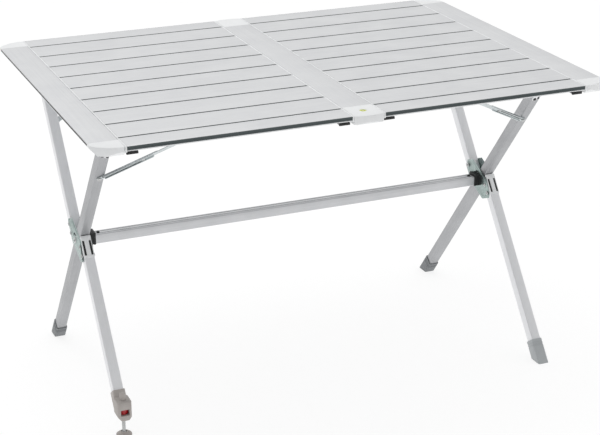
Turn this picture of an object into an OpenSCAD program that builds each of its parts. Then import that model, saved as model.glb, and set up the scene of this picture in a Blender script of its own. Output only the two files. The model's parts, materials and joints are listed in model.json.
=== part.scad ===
// Folding table with a slatted top on three rails, two crossed leg frames,
// a bar between the hubs, four stays and one levelling foot.
// Millimetres. X runs along the length, Y to the back, Z up from the floor.

/* [Table] */
// Overall length of the top
table_l = 1150; // [960:10:1400]
// Overall depth of the top
table_d = 820; // [680:10:1000]
// Height of the top above the floor
table_h = 700; // [580:10:860]

/* [Rails] */
// Width of an end rail
end_w = 62; // [50:1:80]
// Width of the middle rail
mid_w = 66; // [50:1:80]
// Height of a rail
rail_h = 18; // [16:0.5:24]
// Wall of a rail
rail_wall = 1.6; // [1.2:0.1:2.4]
// Width of the ledge that carries the slat ends
ledge_w = 36; // [30:1:46]
// Thickness of the ledge
ledge_t = 2.5; // [2:0.1:3.5]
// Visible length of a corner cap
end_cap_l = 46; // [38:1:60]
// Visible length of a middle cap
mid_cap_l = 62; // [50:1:80]
// Length of a corner cap's slanted front along the table's edge
corner_w = 48; // [36:1:52]
// How far back a corner cap's slanted front goes
corner_d = 32; // [20:1:36]
// Height of an end rail's outer side above its undercut
edge_h = 6; // [4:0.5:10]
// Width of the undercut below an end rail's outer side
undercut_w = 26; // [12:1:32]
// Height of a corner cap's front face above its undercut
corner_face_h = 10.5; // [8:0.5:14]
// Height of a middle cap's front face above its undercut
mid_face_h = 14.5; // [10:0.5:16]
// Depth of the undercut below a cap's front face
face_undercut = 24; // [12:1:30]
// How far a middle cap bulges past the slats
mid_bulge = 6; // [2:0.5:10]
// Length of the tongue that plugs a cap into its rail
cap_tongue = 26; // [18:1:34]

/* [Slats] */
// Thickness of a slat
slat_t = 12; // [10:0.5:14]
// Width of the two edge slats of each field
edge_slat_w = 58; // [48:1:70]
// Gap between neighbouring slats
slat_gap = 2.4; // [1.5:0.1:4]
// Wall of a slat
slat_wall = 1.4; // [1:0.1:2]
// Width of the plastic end piece on a slat
slat_end_t = 4; // [3:0.5:6]
// Diameter of the elastic cords inside the slats
cord_d = 4; // [3:0.5:5]
// Distance from a slat's end to its cord
cord_inset = 40; // [34:1:60]

/* [Legs] */
// Width of a leg tube, along X
leg_w = 22; // [18:1:26]
// Depth of a leg tube
leg_d = 25; // [20:1:32]
// Wall of a leg tube
leg_wall = 1.5; // [1.2:0.1:2.2]
// Slope of the legs from upright
leg_tilt = 38; // [32:1:42]
// Distance from an end rail's inner edge to the middle of a leg
leg_inset = 10; // [4:1:16]
// Height of the hub above the middle of the legs
hub_rise = 16; // [0:1:30]
// Length of a foot boot along its leg
boot_l = 48; // [40:1:60]
// Wall of a foot boot
boot_wall = 2; // [1.6:0.1:3]
// Length of a leg head above its tube
head_l = 34; // [28:1:40]
// Height of the plastic seat between a leg head and its rail
seat_h = 13.5; // [8:0.5:20]

/* [Hub] */
// Thickness of a hub plate
plate_t = 2; // [1.6:0.2:3]
// Diameter of the main pivot pin
pivot_d = 8; // [6:0.5:9]
// Wall of the pivot bush
bush_wall = 2; // [1.5:0.25:2.5]
// Diameter of the stop pin
stop_d = 5; // [4:0.5:6]
// Distance from the pivot to the stop pin
stop_r = 14; // [13:0.5:15]
// Diameter of the hub rivets
rivet_d = 5; // [4:0.5:6]

/* [Crossbar] */
// Depth of the crossbar, along Y
bar_d = 25; // [20:1:30]
// Height of the crossbar
bar_h = 22; // [18:1:28]
// Wall of the crossbar
bar_wall = 1.5; // [1.2:0.1:2]
// Length of the socket block between a hub and the bar
socket_l = 16; // [12:1:24]
// Diameter of the snap button
button_d = 7; // [6:0.5:8]
// Travel of the snap button
button_travel = 4; // [3:0.5:4.5]

/* [Stays] */
// Distance along the leg from the hub to a stay's rivet
stay_s = 267; // [240:1:280]
// Angle between the leg and its stay
stay_angle = 57; // [48:1:62]
// Width of the stay's channel
stay_w = 11; // [9:0.5:13]
// Length of the stay's channel past the rivet
stay_channel_l = 133; // [110:1:150]
// Sheet thickness of the stay
stay_t = 1.6; // [1.2:0.1:2]
// Diameter of the pin that a stay hooks on
catch_d = 5; // [4:0.5:6]

/* [Level foot] */
// Diameter of the spindle
spindle_d = 8; // [6:0.5:9]
// Diameter of the thumb nut
nut_d = 22; // [19:0.5:23]
// Height of the thumb nut
nut_h = 13; // [10:0.5:14]
// Diameter of the floor pad
pad_d = 34; // [28:1:44]
// Height of the floor pad
pad_h = 12; // [10:0.5:15]
// Depth of the housing around the spindle
level_depth = 38; // [34:1:44]
// Rise of the leg tube's end above the floor at the level foot
level_tube_z = 75; // [70:1:90]
// Distance from the leg's middle line to the spindle, measured at the tube's end
level_ahead = 24; // [20:1:30]

/* [Clearances] */
// Radial clearance of a running or plug fit
fit_gap = 0.05; // [0.02:0.01:0.1]
// Clearance between a turning leg and each hub plate
side_gap = 0.3; // [0.2:0.05:0.6]
// Clearance between surfaces that pass each other
free_gap = 1.5; // [1:0.1:2.5]

/* [Hidden] */
$fn = 48;
cut = 0.5;
inner_slats = 8;
slat_pitch = (table_d - 2 * edge_slat_w) / inner_slats;
slat_count = inner_slats + 2;
field_in = mid_w / 2;
field_out = table_l / 2 - end_w;
slat_z = table_h - slat_t;
ledge_z = slat_z - ledge_t;
rail_z = table_h - rail_h;
cord_z = table_h - slat_t / 2;
chamfer = 1.5;
ledge_start = 8;
vial_r = 8;
vial_h = 9;

leg_x = field_out - leg_inset;
seat_z = ledge_z - seat_h;
hub_z = seat_z / 2 + hub_rise;
half_leg_w = leg_w + 2 * side_gap;
half_leg_offset = leg_d + free_gap;
half_leg_shift = half_leg_offset * tan(leg_tilt);
leg_cos = cos(leg_tilt);
leg_sin = sin(leg_tilt);
head_s = (seat_z - hub_z) / leg_cos;
tube_top_s = head_s - head_l;
sole_lift = 5;
tube_end_s = -(hub_z - sole_lift - leg_d / 2 * leg_sin) / leg_cos;
boot_s = tube_end_s + boot_l - 14;
boot_end_s = -(hub_z + leg_d) / leg_cos;

plate_x = half_leg_w / 2;
plate_tip = 59;
plate_near = 26;
rivet_s = [46, 25];
rivet_r = rivet_d / 2;
rivet_head_r = rivet_d * 0.9;
rivet_head_t = 1.8;
pivot_r = pivot_d / 2;
pivot_head_r = 7;
pivot_head_t = 2.5;
bush_r = pivot_r + fit_gap + bush_wall;
slot_clear = 0.3;
mitre_gap = free_gap;
collar_t = 2;
collar_l = 54;

bar_end_x = leg_x - plate_x - plate_t - socket_l;
tongue_l = 55;
button_x = bar_end_x - 9;
button_r = button_d / 2;
button_flange_r = button_r + 1.2;
button_proud = 2.5;
pocket_r = button_flange_r + 0.3;
bar_top = hub_z + bar_h / 2;
flange_z = bar_top - bar_wall - 0.1;
flange_t = 1.6;
spring_wire = 0.9;
spring_turns = 5;
spring_r = button_r - 0.9;
spring_top = flange_z - flange_t;
pocket_floor = hub_z - bar_h / 2 + bar_wall + 2.5;
spring_rise = spring_top - pocket_floor - spring_wire - 0.1;

stay_y = leg_d / 2 + 0.4;
stay_mid_y = stay_y + stay_t / 2;
catch_z = slat_z - 12;
catch_s = (catch_z - hub_z + stay_mid_y * leg_sin) / leg_cos;
stay_rise = catch_s - stay_s;
stay_l = stay_rise / cos(stay_angle);
stay_reach = stay_rise * tan(stay_angle);
catch_x = leg_x - stay_reach;
catch_y = catch_s * leg_sin + stay_mid_y * leg_cos;
stay_rivet_r = 3;
elbow_l = 102;
hook_r = 9;
hook_slot_r = catch_d / 2 + 1.6;
screw_s = head_s - 56;
ear_w = 11;
screw_x = 5;
screw_r = 1.5;

level_tube_s = (level_tube_z - hub_z - half_leg_offset * leg_sin) / leg_cos;
level_tube_y = level_tube_s * leg_sin - half_leg_offset * leg_cos;
spindle_y = level_tube_y - level_ahead;
level_low = level_tube_z - 29;
level_top = level_tube_z + 13;
level_w = 30;
sleeve_up = 21;
sleeve_down = 23;
guide_h = 17;
guide_r = spindle_d / 2 + 2.5;
nut_z = level_low + 12;
nut_gap = 0.4;
window_w = 19;
spindle_top = level_top + 8;
ball_r = 6;
ball_z = pad_h - 3;

// ---------- shared shapes ----------

// Puts its children on the left (side -1) or the right (side 1)
module on_side(side) {
    mirror([side < 0 ? 1 : 0, 0, 0]) children();
}

// Local frame of a straight leg: Z runs up the leg from the hub, Y to its upper back face
module straight_frame(side) {
    on_side(side) translate([leg_x, 0, hub_z]) rotate([leg_tilt, 0, 0]) children();
}

// Local frame of a two-part leg: Z runs up the leg from the hub, Y to its lower back face
module split_frame(side) {
    on_side(side) translate([leg_x, 0, hub_z]) rotate([-leg_tilt, 0, 0]) children();
}

// Rectangle with cut corners, centred
module cut_rect(w, d, c) {
    polygon([
        [-w / 2 + c, -d / 2], [w / 2 - c, -d / 2], [w / 2, -d / 2 + c], [w / 2, d / 2 - c],
        [w / 2 - c, d / 2], [-w / 2 + c, d / 2], [-w / 2, d / 2 - c], [-w / 2, -d / 2 + c]
    ]);
}

// Hollow tube with cut edges between two heights
module tube(w, d, wall, z0, z1) {
    translate([0, 0, z0]) difference() {
        linear_extrude(z1 - z0) cut_rect(w, d, 1.2);
        translate([0, 0, -cut]) linear_extrude(z1 - z0 + 2 * cut)
            cut_rect(w - 2 * wall, d - 2 * wall, 0.6);
    }
}

// Round bar along X, centred
module bar_x(r, l) {
    rotate([0, 90, 0]) cylinder(r = r, h = l, center = true);
}

// Round bar along Y, centred
module bar_y(r, l) {
    rotate([90, 0, 0]) cylinder(r = r, h = l, center = true);
}

// Flat strip from the origin along Y with round ends, in 2D
module strip_2d(w, l, start = 0) {
    translate([-w / 2, start]) square([w, l - start]);
    translate([0, start]) circle(r = w / 2);
    translate([0, l]) circle(r = w / 2);
}

// ---------- top ----------

// Section of an end rail, in X and Z, drawn in from its outside by t
module end_rail_2d(t) {
    out_x = table_l / 2;
    rise = rail_h - edge_h;
    slant = norm([undercut_w, rise]);
    polygon([
        [field_out + t, rail_z + t],
        [out_x - undercut_w - t * (slant - undercut_w) / rise, rail_z + t],
        [out_x - t, table_h - edge_h + t * (slant - rise) / undercut_w],
        [out_x - t, table_h - t], [field_out + t, table_h - t]
    ]);
}

// Runs a section in X and Z along Y, from y0 over a length
module along_y(y0, l) {
    translate([0, y0 + l, 0]) rotate([90, 0, 0]) linear_extrude(l) children();
}

// Extruded end rail between its caps, with a ledge along its inner edge
module end_rail(side) {
    inner_l = table_d - 2 * end_cap_l;
    on_side(side) color("gainsboro") difference() {
        union() {
            along_y(-inner_l / 2, inner_l) end_rail_2d(0);
            translate([field_out - ledge_w, -inner_l / 2, ledge_z])
                cube([ledge_w + rail_wall, inner_l, ledge_t]);
        }
        along_y(-inner_l / 2 - cut, inner_l + 2 * cut) end_rail_2d(rail_wall);
    }
}

// Extruded middle rail with a ledge on both sides
module middle_rail() {
    inner_l = table_d - 2 * mid_cap_l;
    color("gainsboro") difference() {
        union() {
            translate([-mid_w / 2, -inner_l / 2, rail_z]) cube([mid_w, inner_l, rail_h]);
            translate([-mid_w / 2 - ledge_w, -inner_l / 2, ledge_z])
                cube([mid_w + 2 * ledge_w, inner_l, ledge_t]);
        }
        translate([-mid_w / 2 + rail_wall, -inner_l / 2 - cut, rail_z + rail_wall])
            cube([mid_w - 2 * rail_wall, inner_l + 2 * cut, rail_h - 2 * rail_wall]);
    }
}

// Keeps what is above the undercut of a cap's front face
module face_cut(y0, face_h, l) {
    intersection() {
        children();
        translate([-table_l, 0, 0]) rotate([90, 0, 90]) linear_extrude(2 * table_l) polygon([
            [y0, table_h + 1], [y0, table_h - face_h], [y0 + face_undercut, rail_z],
            [y0 + l, rail_z], [y0 + l, table_h + 1]
        ]);
    }
}

// Corner cap, drawn at the front right
module corner_cap() {
    y0 = -table_d / 2;
    out_x = table_l / 2;
    inset = rail_wall + fit_gap;
    color("whitesmoke") {
        face_cut(y0, corner_face_h, end_cap_l) intersection() {
            translate([0, 0, rail_z]) linear_extrude(rail_h) polygon([
                [field_out, y0 + 3], [field_out + 3, y0], [out_x - corner_w, y0],
                [out_x - 0.58 * corner_w, y0 + 0.2 * corner_d],
                [out_x - 0.2 * corner_w, y0 + 0.6 * corner_d],
                [out_x, y0 + corner_d], [out_x, y0 + end_cap_l], [field_out, y0 + end_cap_l]
            ]);
            along_y(y0, end_cap_l) end_rail_2d(0);
        }
        along_y(y0 + end_cap_l, cap_tongue) end_rail_2d(inset);
        translate([field_out - ledge_w, y0 + ledge_start, ledge_z])
            cube([ledge_w, end_cap_l - ledge_start, ledge_t]);
    }
}

// Middle cap, drawn at the front, with an optional seat for the bubble level
module middle_cap(seat) {
    y0 = -table_d / 2;
    front = y0 - mid_bulge;
    inset = rail_wall + fit_gap;
    color("whitesmoke") difference() {
        union() {
            face_cut(front, mid_face_h, mid_cap_l + mid_bulge)
                translate([0, 0, rail_z]) linear_extrude(rail_h) polygon([
                    [-mid_w / 2, y0], [-0.36 * mid_w, front + 0.4 * mid_bulge],
                    [-0.16 * mid_w, front], [0.16 * mid_w, front],
                    [0.36 * mid_w, front + 0.4 * mid_bulge], [mid_w / 2, y0],
                    [mid_w / 2, y0 + mid_cap_l], [-mid_w / 2, y0 + mid_cap_l]
                ]);
            translate([-mid_w / 2 + inset, y0 + mid_cap_l, rail_z + inset])
                cube([mid_w - 2 * inset, cap_tongue, rail_h - 2 * inset]);
            for (s = [-1, 1]) on_side(s) translate([mid_w / 2, y0 + ledge_start, ledge_z])
                cube([ledge_w, mid_cap_l - ledge_start, ledge_t]);
        }
        if (seat) translate([0, y0 + mid_cap_l / 2, table_h - vial_h])
            cylinder(r = vial_r + 0.1, h = vial_h + 1);
    }
}

// Round bubble level in the front middle cap
module bubble_level() {
    color("yellowgreen") translate([0, -table_d / 2 + mid_cap_l / 2, table_h - vial_h])
        rotate_extrude() polygon([
            [0, 0], [vial_r, 0], [vial_r, vial_h - 0.8], [vial_r - 0.8, vial_h - 0.3], [0, vial_h]
        ]);
}

// Centre line of a slat, counted from the front
function slat_y(i) =
    i == 0 ? -table_d / 2 + edge_slat_w / 2 :
    i == slat_count - 1 ? table_d / 2 - edge_slat_w / 2 :
    -table_d / 2 + edge_slat_w + (i - 0.5) * slat_pitch;

// Width of a slat, counted from the front
function slat_w(i) =
    (i == 0 || i == slat_count - 1) ? edge_slat_w - slat_gap / 2 : slat_pitch - slat_gap;

// Shift that puts an edge slat's outer side on the table's edge
function slat_shift(i) =
    i == 0 ? -slat_gap / 4 : i == slat_count - 1 ? slat_gap / 4 : 0;

// Outline of a slat with its three chambers, in 2D
module slat_2d(w) {
    chamber_w = (w - 4 * slat_wall) / 3;
    difference() {
        polygon([
            [-w / 2 + 1, 0], [w / 2 - 1, 0], [w / 2, 1], [w / 2, slat_t - chamfer],
            [w / 2 - chamfer, slat_t], [-w / 2 + chamfer, slat_t],
            [-w / 2, slat_t - chamfer], [-w / 2, 1]
        ]);
        for (i = [-1:1]) translate([i * (chamber_w + slat_wall) - chamber_w / 2, slat_wall])
            square([chamber_w, slat_t - 2 * slat_wall]);
    }
}

// One slat along X between two ends
module slat(i, x0, x1) {
    translate([x0, slat_y(i) + slat_shift(i), slat_z])
        rotate([90, 0, 90]) linear_extrude(x1 - x0) slat_2d(slat_w(i));
}

// The ten slats of one field, each its own piece
module slat_field(side) {
    on_side(side) color("silver") for (i = [0:slat_count - 1]) difference() {
        slat(i, field_in + slat_end_t, field_out - slat_end_t);
        for (x = [field_in + cord_inset, field_out - cord_inset])
            translate([x, 0, cord_z]) bar_y(cord_d / 2 + 0.5, table_d - 2 * edge_slat_w + 24);
    }
}

// Plastic end piece of a slat, drawn at a slat's left end
module slat_end_piece(i) {
    w = slat_w(i);
    chamber_w = (w - 4 * slat_wall) / 3;
    linear_extrude(slat_end_t) polygon([
        [-w / 2 + 1, 0], [w / 2 - 1, 0], [w / 2, 1], [w / 2, slat_t - chamfer],
        [w / 2 - chamfer, slat_t], [-w / 2 + chamfer, slat_t],
        [-w / 2, slat_t - chamfer], [-w / 2, 1]
    ]);
    for (c = [-1:1])
        translate([c * (chamber_w + slat_wall) - chamber_w / 2 + fit_gap,
                   slat_wall + fit_gap, slat_end_t])
            cube([chamber_w - 2 * fit_gap, slat_t - 2 * slat_wall - 2 * fit_gap, 16]);
}

// End pieces of all the slats
module slat_end_pieces() {
    color("white") for (side = [-1, 1], i = [0:slat_count - 1]) on_side(side) {
        translate([field_in, slat_y(i) + slat_shift(i), slat_z])
            rotate([90, 0, 90]) slat_end_piece(i);
        translate([field_out, slat_y(i) + slat_shift(i), slat_z])
            mirror([1, 0, 0]) rotate([90, 0, 90]) slat_end_piece(i);
    }
}

// Elastic cords that string the slats together
module slat_cords() {
    color("dimgray") for (side = [-1, 1], x = [field_in + cord_inset, field_out - cord_inset])
        on_side(side) translate([x, 0, cord_z])
            bar_y(cord_d / 2, table_d - 2 * edge_slat_w + 20);
}

// Dark clips that hold the edge slats down on the ledges
module slat_clips() {
    clip_l = 24;
    clip_d = 16;
    color("black") for (sx = [-1, 1], sy = [-1, 1], x = [field_in + 5, field_out - clip_l - 5])
        mirror([sx < 0 ? 1 : 0, 0, 0]) mirror([0, sy < 0 ? 1 : 0, 0])
            translate([x, table_d / 2 - clip_d - 9, ledge_z - 5]) {
                cube([clip_l, clip_d, 5]);
                translate([0, clip_d - 4, -3]) cube([clip_l, 4, 3]);
            }
}

// Pin and bracket under a slat that one stay hooks on
module stay_catch(y) {
    plate_l = 26;
    translate([catch_x - 10, y - 10, slat_z - 2]) cube([20, plate_l, 2]);
    translate([catch_x - 6, y + 12, catch_z - 5]) cube([12, 4, slat_z - catch_z + 3]);
    translate([catch_x, y + 3, catch_z]) bar_y(catch_d / 2, 22);
}

// The four stay catches
module stay_catches() {
    color("silver") for (side = [-1, 1]) on_side(side) {
        mirror([0, 1, 0]) stay_catch(catch_y);
        stay_catch(catch_y + half_leg_offset / leg_cos);
    }
}

// Plastic seats under the end rails that the leg heads carry
module head_seats() {
    seat_l = 44;
    front_y = -head_s * leg_sin;
    back_y = head_s * leg_sin + half_leg_offset / leg_cos;
    inner_x = leg_x - leg_w / 2 - 2;
    color("whitesmoke") for (side = [-1, 1], y = [front_y, back_y]) on_side(side)
        translate([inner_x, y - seat_l / 2, seat_z]) {
            cube([leg_w + 4, seat_l, rail_z - seat_z]);
            cube([field_out - inner_x, seat_l, ledge_z - seat_z]);
        }
}

// ---------- legs ----------

// Keeps what is above a height
module above(z) {
    intersection() {
        children();
        translate([-table_l, -table_d, z]) cube([2 * table_l, 2 * table_d, table_h]);
    }
}

// Keeps what is below a height
module below(z) {
    intersection() {
        children();
        translate([-table_l, -table_d, z - 2 * table_h])
            cube([2 * table_l, 2 * table_d, 2 * table_h]);
    }
}

// One-piece leg tube from the front of the top to the back foot
module straight_leg(side) {
    color("darkgray") straight_frame(side) difference() {
        tube(leg_w, leg_d, leg_wall, tube_end_s, tube_top_s);
        bar_x(bush_r + fit_gap, leg_w + 2 * cut);
        translate([0, 0, stop_r]) bar_x(stop_d / 2 + fit_gap, leg_w + 2 * cut);
        translate([0, 0, stay_s]) bar_y(stay_rivet_r, leg_d + 2 * cut);
        for (x = [-screw_x, screw_x]) translate([x, -leg_d / 2, screw_s]) bar_y(screw_r, 8);
    }
}

// Bush that turns on the pivot pin
module pivot_bush(side) {
    bush_l = leg_w + 2 * side_gap - 0.2;
    color("ivory") straight_frame(side) difference() {
        bar_x(bush_r, bush_l);
        bar_x(pivot_r + fit_gap, bush_l + 2 * cut);
    }
}

// Pin through the straight leg that runs in the arc slots
module stop_pin(side) {
    color("silver") straight_frame(side) translate([0, 0, stop_r])
        bar_x(stop_d / 2, 2 * (plate_x + plate_t));
}

// Wedge that trims a half leg's end parallel to the straight leg, with a gap
module mitre(gap) {
    rotate([2 * leg_tilt, 0, 0])
        translate([-40, -leg_d / 2 - gap, -90]) cube([80, leg_d + 2 * gap, 180]);
}

// Upper (end 1) or lower (end -1) tube of a two-part leg
module half_leg(side, end, far_s) {
    color("whitesmoke") split_frame(side) difference() {
        translate([0, end * half_leg_offset, 0]) rotate([end < 0 ? 180 : 0, 0, 0])
            tube(half_leg_w, leg_d, leg_wall, 0, far_s);
        mitre(mitre_gap + collar_t);
        for (s = rivet_s) translate([0, end * half_leg_offset, end * s])
            bar_x(rivet_r + fit_gap, half_leg_w + 2 * cut);
        if (end > 0) translate([0, half_leg_offset, half_leg_shift]) {
            translate([0, 0, stay_s]) bar_y(stay_rivet_r, leg_d + 2 * cut);
            for (x = [-screw_x, screw_x]) translate([x, leg_d / 2, screw_s]) bar_y(screw_r, 8);
        }
    }
}

// Collar that closes a half leg's end, with two slots in its face, drawn for the lower half
module hub_collar() {
    face_y = -half_leg_offset - leg_d / 2;
    difference() {
        union() {
            translate([-half_leg_w / 2, face_y - collar_t, -collar_l])
                cube([half_leg_w, collar_t, collar_l + 10]);
            difference() {
                translate([-half_leg_w / 2, face_y, -collar_l])
                    cube([half_leg_w, leg_d, collar_l + 10]);
                difference() {
                    translate([-half_leg_w, face_y - 1, -collar_l - 1])
                        cube([2 * half_leg_w, leg_d + 2, collar_l + 20]);
                    mitre(mitre_gap + collar_t);
                }
            }
        }
        mitre(mitre_gap);
        for (x = [-1, 1]) translate([x * 7.4 - 2.4, face_y - collar_t - cut, -collar_l + 5])
            cube([4.8, collar_t + 2 * cut, 34]);
    }
}

// The two collars of one hub
module hub_collars(side) {
    color("whitesmoke") split_frame(side) {
        hub_collar();
        rotate([180, 0, 0]) hub_collar();
    }
}

// Outline of a hub plate, the same turned half round
module plate_outline() {
    half = [
        [plate_near, plate_tip], [35, plate_tip - 9], [40, 16]
    ];
    polygon([for (p = half) p, for (p = half) -p]);
}

// Arc slot with flat ends that the stop pin runs in
module stop_slot() {
    w = stop_d / 2 + slot_clear;
    over = asin(w / stop_r);
    far = 3 * stop_r;
    turns = [-over, leg_tilt * 2 / 3, leg_tilt * 4 / 3, 2 * leg_tilt + over];
    intersection() {
        difference() {
            bar_x(stop_r + w, 2 * plate_t + 2);
            bar_x(stop_r - w, 2 * plate_t + 4);
        }
        rotate([90, 0, 90]) linear_extrude(2 * plate_t + 6, center = true)
            polygon(concat([[0, 0]], [for (a = turns) [-far * sin(a), far * cos(a)]]));
    }
}

// Hub plate on the outer (face 1) or inner (face -1) side of a leg
module hub_plate(side, face) {
    color("lightslategray") split_frame(side)
        translate([face * (plate_x + plate_t / 2), 0, 0]) difference() {
            rotate([90, 0, 90]) linear_extrude(plate_t, center = true) plate_outline();
            bar_x(pivot_r + fit_gap, plate_t + 2);
            stop_slot();
            for (end = [-1, 1], s = rivet_s) translate([0, end * half_leg_offset, end * s])
                bar_x(rivet_r + fit_gap, plate_t + 2);
        }
}

// Round-headed pin through both plates of a hub
module headed_pin(r, head_r, head_t) {
    reach = plate_x + plate_t;
    bar_x(r, 2 * reach);
    for (f = [-1, 1]) translate([f * (reach + head_t / 2), 0, 0]) bar_x(head_r, head_t);
}

// Main pivot pins of the two hubs
module hub_pivot_pins() {
    color("silver") for (side = [-1, 1]) split_frame(side)
        headed_pin(pivot_r, pivot_head_r, pivot_head_t);
}

// Rivets that fix the half legs between the plates
module hub_rivets() {
    color("dimgray") for (side = [-1, 1]) split_frame(side)
        for (end = [-1, 1], s = rivet_s) translate([0, end * half_leg_offset, end * s])
            headed_pin(rivet_r, rivet_head_r, rivet_head_t);
}

// Boot around a leg end, before its sole is cut flat
module boot_shape(w) {
    difference() {
        translate([0, 0, boot_end_s]) linear_extrude(boot_s - boot_end_s)
            cut_rect(w + 2 * boot_wall + 2 * fit_gap, leg_d + 2 * boot_wall + 2 * fit_gap, 3);
        translate([0, 0, tube_end_s]) linear_extrude(boot_l + 40)
            cut_rect(w + 2 * fit_gap, leg_d + 2 * fit_gap, 1.2);
    }
}

// Boot on a straight leg's back foot
module boot_back(side) {
    color("gray") above(0) straight_frame(side) boot_shape(leg_w);
}

// Boot on the front right foot
module boot_front() {
    color("gray") above(0) split_frame(1)
        translate([0, -half_leg_offset, -half_leg_shift]) boot_shape(half_leg_w);
}

// Plastic head that plugs into a leg tube, with an ear on the given face
module head_shape(w, face) {
    plug_l = 34;
    inner = leg_wall + fit_gap;
    translate([0, 0, tube_top_s]) linear_extrude(head_l + leg_d) cut_rect(w, leg_d, 1.2);
    translate([0, 0, tube_top_s - plug_l]) linear_extrude(plug_l)
        cut_rect(w - 2 * inner, leg_d - 2 * inner, 0.6);
    translate([-w / 2 + 1, face * (leg_d / 2 + 1) - 1, screw_s - 6])
        cube([ear_w, 2, head_s - screw_s + 20]);
}

// Head of a straight leg, at the front
module leg_head_front(side) {
    color("whitesmoke") below(seat_z - side_gap) straight_frame(side) difference() {
        head_shape(leg_w, -1);
        for (x = [-screw_x, screw_x])
            translate([x, -leg_d / 2, screw_s]) bar_y(screw_r + fit_gap, 12);
    }
}

// Head of a two-part leg, at the back
module leg_head_back(side) {
    color("whitesmoke") below(seat_z - side_gap) split_frame(side)
        translate([0, half_leg_offset, half_leg_shift]) difference() {
            head_shape(half_leg_w, 1);
            for (x = [-screw_x, screw_x])
                translate([x, leg_d / 2, screw_s]) bar_y(screw_r + fit_gap, 12);
        }
}

// Head screws and stay rivet on one face of a leg (face -1 front, 1 back)
module leg_fasteners(face) {
    for (x = [-screw_x, screw_x]) translate([x, 0, screw_s]) {
        translate([0, face * leg_d / 2, 0]) bar_y(screw_r, 4);
        translate([0, face * (leg_d / 2 + (x < 0 ? 2.8 : 0.8)), 0]) bar_y(x < 0 ? 3.6 : 2.2, 1.6);
    }
    translate([0, 0, stay_s]) {
        translate([0, face * stay_mid_y / 2, 0]) bar_y(stay_rivet_r, stay_mid_y + stay_t + 2 * leg_wall);
        translate([0, face * (stay_y + stay_t + 0.9), 0]) bar_y(4.6, 1.2);
    }
}

// Screws and stay rivet of a straight leg
module fasteners_front(side) {
    color("black") straight_frame(side) leg_fasteners(-1);
}

// Screws and stay rivets of the two half legs at the back
module fasteners_back() {
    color("black") for (side = [-1, 1]) split_frame(side)
        translate([0, half_leg_offset, half_leg_shift]) leg_fasteners(1);
}

// ---------- stays ----------

// Stay on the right, lying in a leg's face plane with Z up the leg; the plane faces -Y
module stay_shape() {
    difference() {
        translate([0, -stay_y, stay_s]) rotate([90, 0, 0]) rotate([0, 0, stay_angle]) {
            linear_extrude(stay_t) strip_2d(stay_w, stay_channel_l);
            for (x = [-stay_w / 2, stay_w / 2 - stay_t])
                translate([x, 12, 0]) cube([stay_t, stay_channel_l - 22, 5]);
            linear_extrude(stay_t) strip_2d(9, stay_l, elbow_l);
            linear_extrude(stay_t) translate([0, stay_l]) circle(r = hook_r);
            translate([0, elbow_l, 0]) cylinder(r = 3.4, h = stay_t + 1.8);
        }
        translate([0, 0, stay_s]) bar_y(stay_rivet_r + fit_gap, 80);
        translate([-stay_reach, -stay_mid_y, catch_s]) rotate([90, 0, 0])
            linear_extrude(20, center = true) {
                circle(r = hook_slot_r);
                polygon([[-hook_slot_r, 0], [hook_slot_r, 0],
                         [hook_slot_r + hook_r, 14], [-hook_slot_r, 14]]);
            }
    }
}

// Stay on a straight leg, at the front
module stay_front(side) {
    color("lightsteelblue") straight_frame(side) stay_shape();
}

// Stay on a two-part leg, at the back
module stay_back(side) {
    color("lightsteelblue") split_frame(side)
        translate([0, half_leg_offset, half_leg_shift]) mirror([0, 1, 0]) stay_shape();
}

// ---------- crossbar ----------

// Rectangular tube between the two sockets
module crossbar() {
    color("silver") difference() {
        translate([0, 0, hub_z]) rotate([0, 90, 0])
            tube(bar_h, bar_d, bar_wall, -bar_end_x, bar_end_x);
        for (side = [-1, 1]) on_side(side) translate([button_x, 0, bar_top - 2 * bar_wall])
            cylinder(r = button_r + 0.2, h = 3 * bar_wall);
    }
}

// Dark block on a hub's inner plate, with a tongue inside the bar
module bar_socket(side) {
    inner = bar_wall + fit_gap;
    block_h = bar_h + 6;
    color("black") on_side(side) difference() {
        union() {
            translate([bar_end_x, -bar_d / 2 - 1, hub_z - bar_h / 2 - 1])
                cube([socket_l, bar_d + 2, block_h]);
            translate([bar_end_x - tongue_l, 0, hub_z]) rotate([0, 90, 0]) linear_extrude(tongue_l)
                cut_rect(bar_h - 2 * inner, bar_d - 2 * inner, 1);
        }
        translate([bar_end_x + socket_l, 0, hub_z]) bar_x(pivot_head_r + 0.4, 2 * pivot_head_t + 1);
        translate([button_x, 0, pocket_floor]) cylinder(r = pocket_r, h = bar_h);
    }
}

// Round button that locks the bar on its socket
module snap_button(side) {
    color("black") on_side(side) translate([button_x, 0, 0]) {
        translate([0, 0, spring_top]) cylinder(r = button_flange_r, h = flange_t);
        translate([0, 0, spring_top]) cylinder(r = button_r, h = bar_top + button_proud - spring_top - 1);
        translate([0, 0, bar_top + button_proud - 1]) cylinder(r1 = button_r, r2 = button_r - 1, h = 1);
    }
}

// Coil spring under the button, swept along its helix
module snap_spring(side) {
    steps = 18 * spring_turns;
    sides = 8;
    points = [for (i = [0:steps]) let (a = 360 * spring_turns * i / steps)
        for (k = [0:sides - 1]) let (b = 360 * k / sides)
            [(spring_r + spring_wire / 2 * cos(b)) * cos(a),
             (spring_r + spring_wire / 2 * cos(b)) * sin(a),
             spring_rise * i / steps + spring_wire / 2 * sin(b)]];
    walls = [for (i = [0:steps - 1], k = [0:sides - 1])
        let (n = (k + 1) % sides, p = i * sides)
            [p + k, p + sides + k, p + sides + n, p + n]];
    start = [for (k = [0:sides - 1]) k];
    finish = [for (k = [sides - 1:-1:0]) steps * sides + k];
    color("silver") on_side(side)
        translate([button_x, 0, pocket_floor + spring_wire / 2 + 0.05])
            polyhedron(points, concat([start], walls, [finish]));
}

// ---------- levelling foot ----------

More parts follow.
